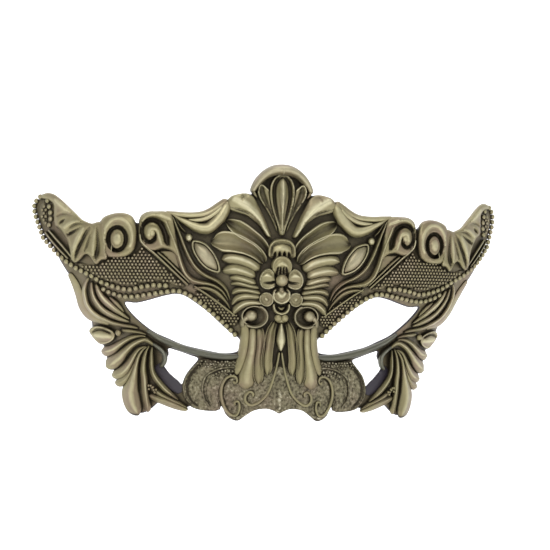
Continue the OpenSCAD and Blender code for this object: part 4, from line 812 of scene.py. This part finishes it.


# The dark wash colour, standing both for the real antique wash and for painted shade in the recesses.
WASH_AND_SHADE = (0.036, 0.028, 0.013)
MATERIALS = {
    "bare_plastic": bare_plastic(),
    "antique_brass": antique("antique_brass", (0.245, 0.215, 0.108), (0.47, 0.43, 0.255)),
    "pale_brass": antique("pale_brass", (0.27, 0.242, 0.128), (0.58, 0.54, 0.35), (0.245, 0.2, 0.118)),
    "dark_bronze": antique("dark_bronze", (0.20, 0.178, 0.10), (0.40, 0.36, 0.23), wash_and_shade_bias=0.04),
    # The dots' very pale worn colour is partly painted highlight on their tops.
    "stippled_brass": antique("stippled_brass", (0.24, 0.205, 0.112), (0.85, 0.79, 0.58),
                              (0.22, 0.165, 0.105), 0.02, 0.3, grain=0.00025, grain_scale=1100.0),
    # The hammered plate's strong speckled mottle paints glints and pit shade into its colour, on top of its
    # random tone.
    "hammered_brass": antique("hammered_brass", (0.205, 0.183, 0.106), (0.5, 0.46, 0.33),
                              (0.2, 0.155, 0.105), 0.32, 1.5, 900.0, 0.0004, 900.0),
    "grey_green": antique("grey_green", (0.105, 0.104, 0.072), (0.21, 0.21, 0.155), (0.09, 0.09, 0.07)),
    "ground": antique("ground", (0.15, 0.125, 0.065), (0.3, 0.26, 0.16), wash_and_shade_bias=0.12),
}


# ---- Placing pieces ----


def piece(name, casting, material, node=None):
    """Makes one object of a casting, in place of the CAD node of its name or another."""
    mesh = bpy.data.meshes.new(name)
    mesh.from_pydata(np.concatenate(casting.points).tolist(), [], casting.faces)
    mesh.update()
    crest = mesh.attributes.new("crest", "FLOAT", "POINT")
    crest.data.foreach_set("value", np.concatenate(casting.crest).astype(np.float32))
    mesh.materials.append(MATERIALS[material])
    mesh.shade_smooth()
    thing = bpy.data.objects.new(name + "_look", mesh)
    bpy.context.scene.collection.objects.link(thing)
    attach(thing, "root")
    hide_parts(node or name)
    return thing


def both_sides(name, casting, material, node=None):
    """The wearer's left piece, and the same one mirrored for the right."""
    other = Casting()
    other.points = [p * [-1, 1, 1] for p in casting.points]
    other.crest = casting.crest
    other.faces = [face[::-1] for face in casting.faces]
    for side, made in (("_left", casting), ("_right", other)):
        piece(name + side, made, material, node if node == "face_shell" else (node or name) + side)


# Profiles from the rim in, as (share of the radius, share of the height), -1 in the shell
PEARL = [(1, -1), (1, 0.12), (0.97, 0.3), (0.9, 0.5), (0.78, 0.7), (0.6, 0.86), (0.38, 0.95), (0.18, 0.99)]
CABOCHON = [(1, -1), (1, 0.25), (0.96, 0.42), (0.88, 0.6), (0.74, 0.78), (0.55, 0.91), (0.35, 0.97),
            (0.16, 1)]
BOWL = [(1, -1), (1, 0.6), (0.98, 0.85), (0.94, 1), (0.89, 0.95), (0.84, 0.6), (0.78, 0.25), (0.68, 0.06),
        (0.45, 0.03), (0.2, 0.02)]


# ---- The shell ----


def shell():
    """A painted front, with bare edges and a bare back."""
    border = curve(SHELL_EDGE, 4)
    outline = np.concatenate([border[:-1], [[-x, z] for x, z in border[:0:-1]]])
    outer = [outline[::-1] if inside_out(outline) else outline]
    for hole in (EYE, CHEEK_GAP):
        line = loop(hole, 4)
        outer += [one if inside_out(one) else one[::-1] for one in (line, line * [-1, 1])]
    flat, triangles = fill([inset(one, SHELL_BEVEL) for one in outer], SHELL_CELL)
    n = len(flat)
    x, z = flat[:, 0], flat[:, 1]
    points = [on_front(x, z, 0), on_front(x, z, -wall(x, z))]
    crest = [np.full(n, 0.18), np.full(n, 0.3)]
    faces = triangles + [[i + n for i in face[::-1]] for face in triangles]
    total, start = 2 * n, 0
    for one in outer:
        m = len(one)
        x, z = one[:, 0], one[:, 1]
        points += [on_front(x, z, -SHELL_BEVEL), on_front(x, z, SHELL_BEVEL - wall(x, z))]
        crest.append(np.full(2 * m, 0.3))
        faces += quads([start, total, total + m, start + n], m, turned=True)
        total += 2 * m
        start += m
    made = Casting().add(np.concatenate(points), faces, np.concatenate(crest))
    thing = piece("face_shell", made, "ground")
    thing.data.materials.append(MATERIALS["bare_plastic"])
    bare = [0] * len(triangles) + [1] * (len(faces) - len(triangles))
    thing.data.polygons.foreach_set("material_index", bare)


# ---- Centre line ----


def crest():
    hood = Casting().wire(both(HOOD), 10)
    hood.wire([[0, 50, 3, 5], [0, 48, 3.4, 7.2], [0, 46.4, 1.6, 6.6], [0, 45.6, 0.6, 5]])
    for s in (-1, 1):
        hood.wire([[s * 11.6, 39.6, 1.6, 2.6], [s * 10.9, 37.8, 1.8, 2.6], [s * 9.8, 36.4, 1, 1.8]])
    piece("crest_hood", hood, "dark_bronze")
    groove = [[1.2, 26, 0.8, -0.5], [2.2, 31, 1.4, -1.2], [3.1, 36, 1.6, -1.7], [3.1, 40.6, 1.6, -1.7],
              [1.9, 43.6, 1.3, -1.2], [0.2, 44.8, 1, -0.6]]
    middle = [
        both(PALM_RIM),
        [[0, 44.4, 2.4, 1.6], [0, 42.6, 4, 3.2], [0, 39, 4.4, 3.8], [0, 35, 3.4, 3], [0, 31, 1.8, 1.6]],
        groove,
        mirrored(groove),
        [[0, 37.6, 1.4, 0.8], [0, 34, 1.4, 1.8], [0, 28, 1.1, 1.8], [0, 21.8, 0.9, 1.6]],
    ]
    palm = Casting().carved(both(PALM_OUTLINE), 2.2, middle, 0.9, FINE_CELL)
    hollow = [[2.8, 26, 1.2, -0.5], [4.8, 31, 1.9, -0.9], [6.7, 35, 2.6, -1.1], [7.9, 38.4, 2.6, -1.1],
              [8.1, 40.4, 1.4, -0.6]]
    for flip in (list, mirrored):
        palm.carved(flip(SIDE_OUTLINE), 1.8, [flip(SIDE_RIM), flip(hollow)], 0.7, FINE_CELL)
    piece("crest_palmette", palm, "pale_brass")


def clasps():
    cup = [[5.6, 13.2], [5.7, 16], [4.9, 18.4], [3, 19.9], [0, 20.5]]
    rim = [[5.1, 12.8, 1.2, 1.3], [5.1, 16, 1.2, 1.4], [4.3, 18, 1.2, 1.4], [2.7, 19.3, 1.2, 1.4],
           [0, 19.8, 1.2, 1.4]]
    groove = [[4.1, 13.4, 0.9, -0.6], [4.1, 16, 0.9, -0.7], [3.3, 17.6, 0.9, -0.7], [0, 18.5, 0.9, -0.7]]
    body = [[-2.8, 15.4, 3, 0.6], [0, 16.6, 5, 1], [2.8, 15.4, 3, 0.6]]
    notches = [
        [[x, 12.2, 1.5, -2.8], [x * 0.95, 13.4, 1.4, -2.4], [x * 0.9, 15, 0.8, -0.9]]
        for x in (-3, -1, 1, 3)
    ]
    outline = both(cup) + [[-2.8, 12], [0, 11.8], [2.8, 12]]
    upper = Casting().carved(outline, 2.9, [both(rim), both(groove), body] + notches, 0.9, FINE_CELL)
    piece("clasp_upper", upper, "antique_brass")
    rim = ring(0, 9.3, 3.7, 3.7, 1.2, 1.1, -30, 240, 18)
    body = [[-1.6, 9.6, 2.6, 0.8], [0, 10.4, 3.4, 1.2], [1.6, 9.6, 2.6, 0.8]]
    notches = [
        [[x, 6, 1.1, -2.8], [x * 0.9, 7.6, 1, -2.4], [x * 0.8, 9, 0.6, -1]]
        for x in (-2, -0.7, 0.7, 2)
    ]
    lower = Casting().carved(oval(0, 9.3, 4.3, 4.3, 14), 4, [rim, body] + notches, 1.1, FINE_CELL)
    piece("clasp_lower", lower, "antique_brass")


def flower():
    heart = [[2.5, 5.8], [3.4, 7.6], [5, 8.5], [7.1, 7.7], [8.6, 5.8], [9, 3.6], [8.3, 1.3], [6.4, 0],
             [4.2, -0.1], [2.4, 0.9], [2.2, 3.2]]
    heart_lines = [
        [[3.1, 6.6, 1, 0.9], [5, 8, 1, 1.2], [7.4, 6.8, 1, 1.3], [8.6, 3.8, 1, 1.3], [7.6, 1, 1, 1.2],
         [5.2, 0.3, 1, 1.2], [3, 1.2, 1, 0.9]],
        [[7.4, 5, 1.6, 0.5], [5.6, 5.6, 2.8, 0.9], [4, 5, 2, 0.5]],
        [[2.6, 3, 1.2, -1.6], [4.6, 2.6, 1.2, -1.4], [7, 2.6, 0.8, -0.6]],
    ]
    small = oval(5.9, -4, 3.1, 3.1, 12).tolist()
    small_lines = [ring(5.9, -4, 2.6, 2.6, 1, 1.4, 60, 330, 16), [[6.1, -3.8, 2, 1], [5.8, -4.1, 2, 1]]]
    petals = Casting()
    for flip in (list, mirrored):
        petals.carved(flip(heart), 2, [flip(line) for line in heart_lines], 0.5, 0.4)
        petals.carved(flip(small), 1.6, [flip(line) for line in small_lines], 0.5, 0.4)
    rim = ring(0, -2.3, 3.3, 3.1, 1.3, 1.4, 140, 260, 16)
    body = [[-1.4, -1.4, 2.4, 1.2], [0, -2.6, 3.4, 1.8], [1.4, -1.4, 2.4, 1.2]]
    notches = [
        [[s * 1.2, 1.4, 1.1, -2], [s * 1.5, -0.2, 1.2, -1.6], [s * 2.4, -1, 0.9, -1.2]]
        for s in (-1, 1)
    ]
    petals.carved(oval(0, -2.3, 4, 3.8, 16), 2.6, [rim, body] + notches, 0.9, FINE_CELL)
    piece("flower_petals", petals, "pale_brass")
    piece("flower_bead", Casting().bead(0, 3.7, 2.4, 3 / 2.4, 18, 28), "pale_brass")


def drop():
    lip = [[-3, -5.4, 1.2, 3.2], [-3, -7.2, 1.4, 3.6], [-2, -8.9, 1.5, 3.8], [0, -9.7, 1.6, 4]]
    fold = [[-1.6, -6.6, 1, 1.8], [0, -7.8, 1.8, 2.6]]
    piece("calyx_cup", Casting().wire(both(lip)).wire(both(fold)), "antique_brass")
    knot = Casting().dome(oval(0, -11.7, 2.5, 2), 0, -11.7, 3.4, PEARL)
    for s in (-1, 1):
        knot.bead(s * 1.25, -11.3, 1.55, 1.9, 12, 20)
    piece("calyx_knot", knot, "antique_brass")
    almond = [[0, -13.2, 1, 3.4], [0, -15.4, 2.2, 4.2], [0, -18, 3.6, 4.8], [0, -20.4, 4.2, 4.8],
              [0, -22.6, 2.8, 3.8], [0, -24.6, 0.8, 2.6]]
    piece("drop_bead", Casting().wire(almond), "pale_brass")


# ---- Nose ----


def nose():
    seam = [[0, -39.5, 1, 0.6], [0, -43, 1.6, 1], [0, -47.6, 1.2, 0.8]]
    lip = both([[19, -52, 1.2, 0.6], [14.4, -50.8, 1.2, 0.7], [10.6, -48.6, 1.2, 0.7], [5, -47.3, 1.2, 0.7],
                [0, -48.4, 1, 0.6]])
    plate = Casting().carved(both(NOSE_PLATE[::-1])[:-1], 1.2, [seam, lip], 0.8, CARVED_CELL, 0.1)
    piece("nose_plate", plate, "hammered_brass")
    x, z = 10.5, -10.8
    scroll = Casting().dome(oval(x, z, 5.1, 4.3), x, z, 2.6, BOWL)
    scroll.wire(ring(x, z, 5, 4.3, 1.3, 3.6, 110, 200, 14), 3)
    scroll.dome(oval(11.7, -10.6, 2.5, 2.5), 11.7, -10.6, 4, PEARL)
    scroll.wire([[12, -11, 3.6, 3.2], [13.6, -11.6, 3.2, 3], [14.8, -13.2, 2.6, 2.6], [14.6, -15.6, 2, 2.2]])
    both_sides("nose_scroll", scroll, "dark_bronze")
    tassels = Casting().strips(TASSELS, rimmed_form).strips(COLUMNS, round_form)
    both_sides("nose_tassels", tassels, "antique_brass")
    both_sides("nose_filigree", Casting().wire(FILIGREE), "pale_brass")
    both_sides("nose_c_scroll", Casting().wire(C_SCROLL), "pale_brass")


# ---- Cheeks ----


def discs():
    groove = [[p[0] - 1.4, p[1] + 0.3, 1.2, -0.9] for p in DISC_RIM]
    disc = Casting().carved(CHEEK_DISC, 1.3, [groove], 0.8, CARVED_CELL, 0.08, 2).wire(DISC_RIM)
    rng = np.random.default_rng(5)
    field = closed([[17.4, -28.6], [23, -29], [29.6, -28.4], [32.6, -31.4], [28, -32.6], [24, -31.2],
                    [18, -30.6]])
    grid = hex_grid(field, 1.25)
    grid = grid[inside(grid, field)]
    disc.pebbles(grid + rng.normal(0, 0.16, grid.shape), 0.5, 1.35)
    both_sides("cheek_disc", disc, "hammered_brass")
    shade = [[p[0] - 1.0, p[1] - 0.7, 1.3, -1.1] for p in MEDALLION_RIM[2:]]
    medallion = Casting().carved(CHEEK_MEDALLION, 1.7, [shade], 0.8, CARVED_CELL, 0.08, 3)
    medallion.wire(MEDALLION_RIM)
    row = curve([[18.4, -33], [21, -32.9], [23.4, -33.6], [25.4, -34.9]], 2)
    medallion.pebbles(row, 0.62, 1.7).pebbles(row + [-0.6, -1.5], 0.5, 1.6)
    both_sides("cheek_medallion", medallion, "hammered_brass")


def cheeks():
    both_sides("eye_rim", Casting().wire(EYE_RIM), "grey_green")
    fan = Casting().strips(CHEEK_FAN[1:]).strip(CHEEK_FAN[0], low_form)
    fan.carved(POD, 2.2, POD_LINES, 1, FINE_CELL).bead(63.2, -19.3, 1.35, 2.6 / 1.35, 12, 20)
    both_sides("cheek_fan", fan, "antique_brass")
    rng = np.random.default_rng(8)
    grains = [50, -41.6] + rng.normal(0, 0.9, (9, 2))
    both_sides("cheek_leaf", Casting().strips(CHEEK_LEAVES).pebbles(grains, 0.55, 3), "antique_brass")
    bare = [[46, -31], [42.6, -35], [38.2, -38.8], [37.6, -42], [40, -43], [43.6, -40.6], [46.4, -37.4],
            [48.6, -33.4]]
    both_sides("cheek_bare", Casting().carved(bare, 0.4, [], 0.4, 0.8), "bare_plastic", node="face_shell")
    both_sides("cheek_curl", Casting().wire(CHEEK_CURL), "grey_green")


# ---- Brow and wing ----


def brow():
    fan = Casting().strips(FAN_RIDGES).carved(FAN_TOP, 2.4, FAN_TOP_LINES, 1.1)
    both_sides("fan", fan.strips(FAN_GUTTERS, gutter_form), "pale_brass")
    both_sides("brow_drape", Casting().strips(DRAPE, round_form), "antique_brass")
    wires = Casting().strips(BROW_WIRES, round_form)
    both_sides("brow_wires", wires, "pale_brass", "brow_scroll")
    scroll = Casting().carved(BROW_OUTLINE, 3.4, BROW_LINES, 1.4, FINE_CELL)
    scroll.carved(BROW_PLATE, 1.1, [], 0.6).strips(BROW_BANDS)
    scroll.dome(oval(51.8, 22, 2.5, 2.7), 51.8, 22, 4.6, PEARL)
    both_sides("brow_scroll", scroll, "antique_brass")
    line = loop(GEM, 4)
    both_sides("gem", Casting().dome(line, 30, 12.5, 3.8, CABOCHON), "dark_bronze")
    wire = [[x, z, 1.3, 2.9] for x, z in np.concatenate([line, line[:2]])]
    bezel = Casting().strip(wire, round_form, 1, False).dome(oval(36.9, 20, 1.6, 1.8), 36.9, 20, 3.4, PEARL)
    both_sides("gem_bezel", bezel, "pale_brass")


def wing():
    groove = ring(65, 19.1, 3.5, 4.7, 1.9, -3.4, 250, 370, 26)
    rim = ring(64.8, 20, 5.6, 7.4, 2.6, 1, -30, 240, 20)
    scroll = Casting().carved(WING_VOLUTE, 3.4, [groove, rim], 1.6, FINE_CELL)
    scroll.dome(oval(65, 19.1, 2.6, 3.6), 65, 19.1, 4.4, PEARL)
    scroll.wire([[66.9, 17.4, 0.8, 2.6], [67.3, 14.6, 0.9, 3.6], [67.3, 11.6, 0.7, 2.4]])
    both_sides("wing_scroll", scroll, "antique_brass")
    wires = Casting().strips(WING_WIRES, round_form)
    both_sides("wing_wires", wires, "pale_brass", "wing_leaf")
    both_sides("wing_leaf", Casting().carved(WING_OUTLINE, 2.8, WING_LINES, 1.3), "antique_brass")


def pads():
    """Fields of dots: each pad's outline, pitch and dot radius."""
    for name, outline, pitch, r in (
        ("wing_tip_pad", WING_TIP_PAD, 1.6, 0.7),
        ("lid_pad", LID_PAD, 1.34, 0.56),
        ("brow_pad", BROW_PAD, 1.46, 0.6),
    ):
        line = closed(outline)
        both_sides(name, Casting().plate(line).dots(line, pitch, r), "stippled_brass")


def beads():
    rows = Casting()
    for row in BEAD_ROWS:
        p = np.array(row, float)
        travel = travelled(p)
        for s in np.linspace(0, travel[-1], int(travel[-1] / BEAD_PITCH) + 1):
            rows.bead(np.interp(s, travel, p[:, 0]), np.interp(s, travel, p[:, 1]), BEAD_R)
    both_sides("bead_rows", rows, "pale_brass")


def lugs():
    for side in ("left", "right"):
        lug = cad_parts["strap_lug_" + side]
        lug.data.materials.clear()
        lug.data.materials.append(MATERIALS["bare_plastic"])


# ---- Studio ----

CAMERA_TURN = 7  # degrees, from straight ahead to the wearer's right
CAMERA_LEAN = 1.1
CAMERA_REACH = 0.65
CAMERA_LENS = 106.4
CAMERA_AIM = (-0.0022, 0, 0.0058)


def camera():
    turn = math.radians(CAMERA_TURN)
    back = Vector((-math.sin(turn), -math.cos(turn), 0))
    data = bpy.data.cameras.new("camera")
    data.sensor_width = 36
    data.lens = CAMERA_LENS
    eye = bpy.data.objects.new("camera", data)
    eye.matrix_world = (
        Matrix.Translation(Vector(CAMERA_AIM) + back * CAMERA_REACH)
        @ (-back).to_track_quat("-Z", "Y").to_matrix().to_4x4()
        @ Matrix.Rotation(math.radians(CAMERA_LEAN), 4, "Z")
    )
    bpy.context.scene.collection.objects.link(eye)
    bpy.context.scene.camera = eye


def paper():
    """White paper with a little light of its own, so that it stays even."""
    material = bpy.data.materials.new("paper")
    material.use_nodes = True
    shader = material.node_tree.nodes["Principled BSDF"]
    shader.inputs["Base Color"].default_value = (0.93, 0.93, 0.92, 1)
    shader.inputs["Roughness"].default_value = 0.9
    shader.inputs["Emission Color"].default_value = (1, 1, 1, 1)
    shader.inputs["Emission Strength"].default_value = 0.55
    return material


def backdrop():
    """A floor under the mask that sweeps up into a wall behind it."""
    floor_z, near, depth, half, bend, top = CAD_BOX[0].z - 0.0005, -3.0, 0.7, 2.2, 0.5, 2.4
    profile = [(near, floor_z), (depth - bend, floor_z)]
    for i in range(1, 13):
        a = math.radians(90 * i / 12)
        profile.append((depth - bend + bend * math.sin(a), floor_z + bend - bend * math.cos(a)))
    profile.append((depth, top))
    verts = [(x, y, z) for y, z in profile for x in (-half, half)]
    faces = [(2 * i, 2 * i + 1, 2 * i + 3, 2 * i + 2) for i in range(len(profile) - 1)]
    mesh = bpy.data.meshes.new("backdrop")
    mesh.from_pydata(verts, [], faces)
    mesh.shade_smooth()
    mesh.materials.append(paper())
    sweep = bpy.data.objects.new("backdrop", mesh)
    bpy.context.scene.collection.objects.link(sweep)


def lamp(name, place, size, power, colour=(1, 1, 1)):
    data = bpy.data.lights.new(name, "AREA")
    data.shape = "RECTANGLE"
    data.size, data.size_y = size
    data.energy = power
    data.color = colour
    light = bpy.data.objects.new(name, data)
    light.location = place
    light.rotation_euler = (-Vector(place)).to_track_quat("-Z", "Y").to_euler()
    bpy.context.scene.collection.objects.link(light)


def studio():
    scene = bpy.context.scene
    scene.world = bpy.data.worlds.new("studio")
    scene.view_settings.view_transform = "Standard"
    scene.world.use_nodes = True
    sky = scene.world.node_tree.nodes["Background"].inputs
    sky["Color"].default_value = (0.9, 0.92, 1, 1)
    sky["Strength"].default_value = 0.5
    lamp("key", (-0.35, -0.75, 0.75), (0.45, 0.45), 5.2, (1, 0.98, 0.94))
    lamp("fill", (0.8, -0.6, 0.25), (0.5, 0.8), 1.2)
    lamp("top", (0.1, 0.1, 0.9), (0.7, 0.4), 2.6)
    lamp("back_left", (-0.6, 0.9, 0.5), (0.5, 0.5), 1.2)


for make in (camera, shell, crest, clasps, flower, drop, nose, discs, cheeks, brow, wing, pads, beads, lugs,
             backdrop, studio):
    make()
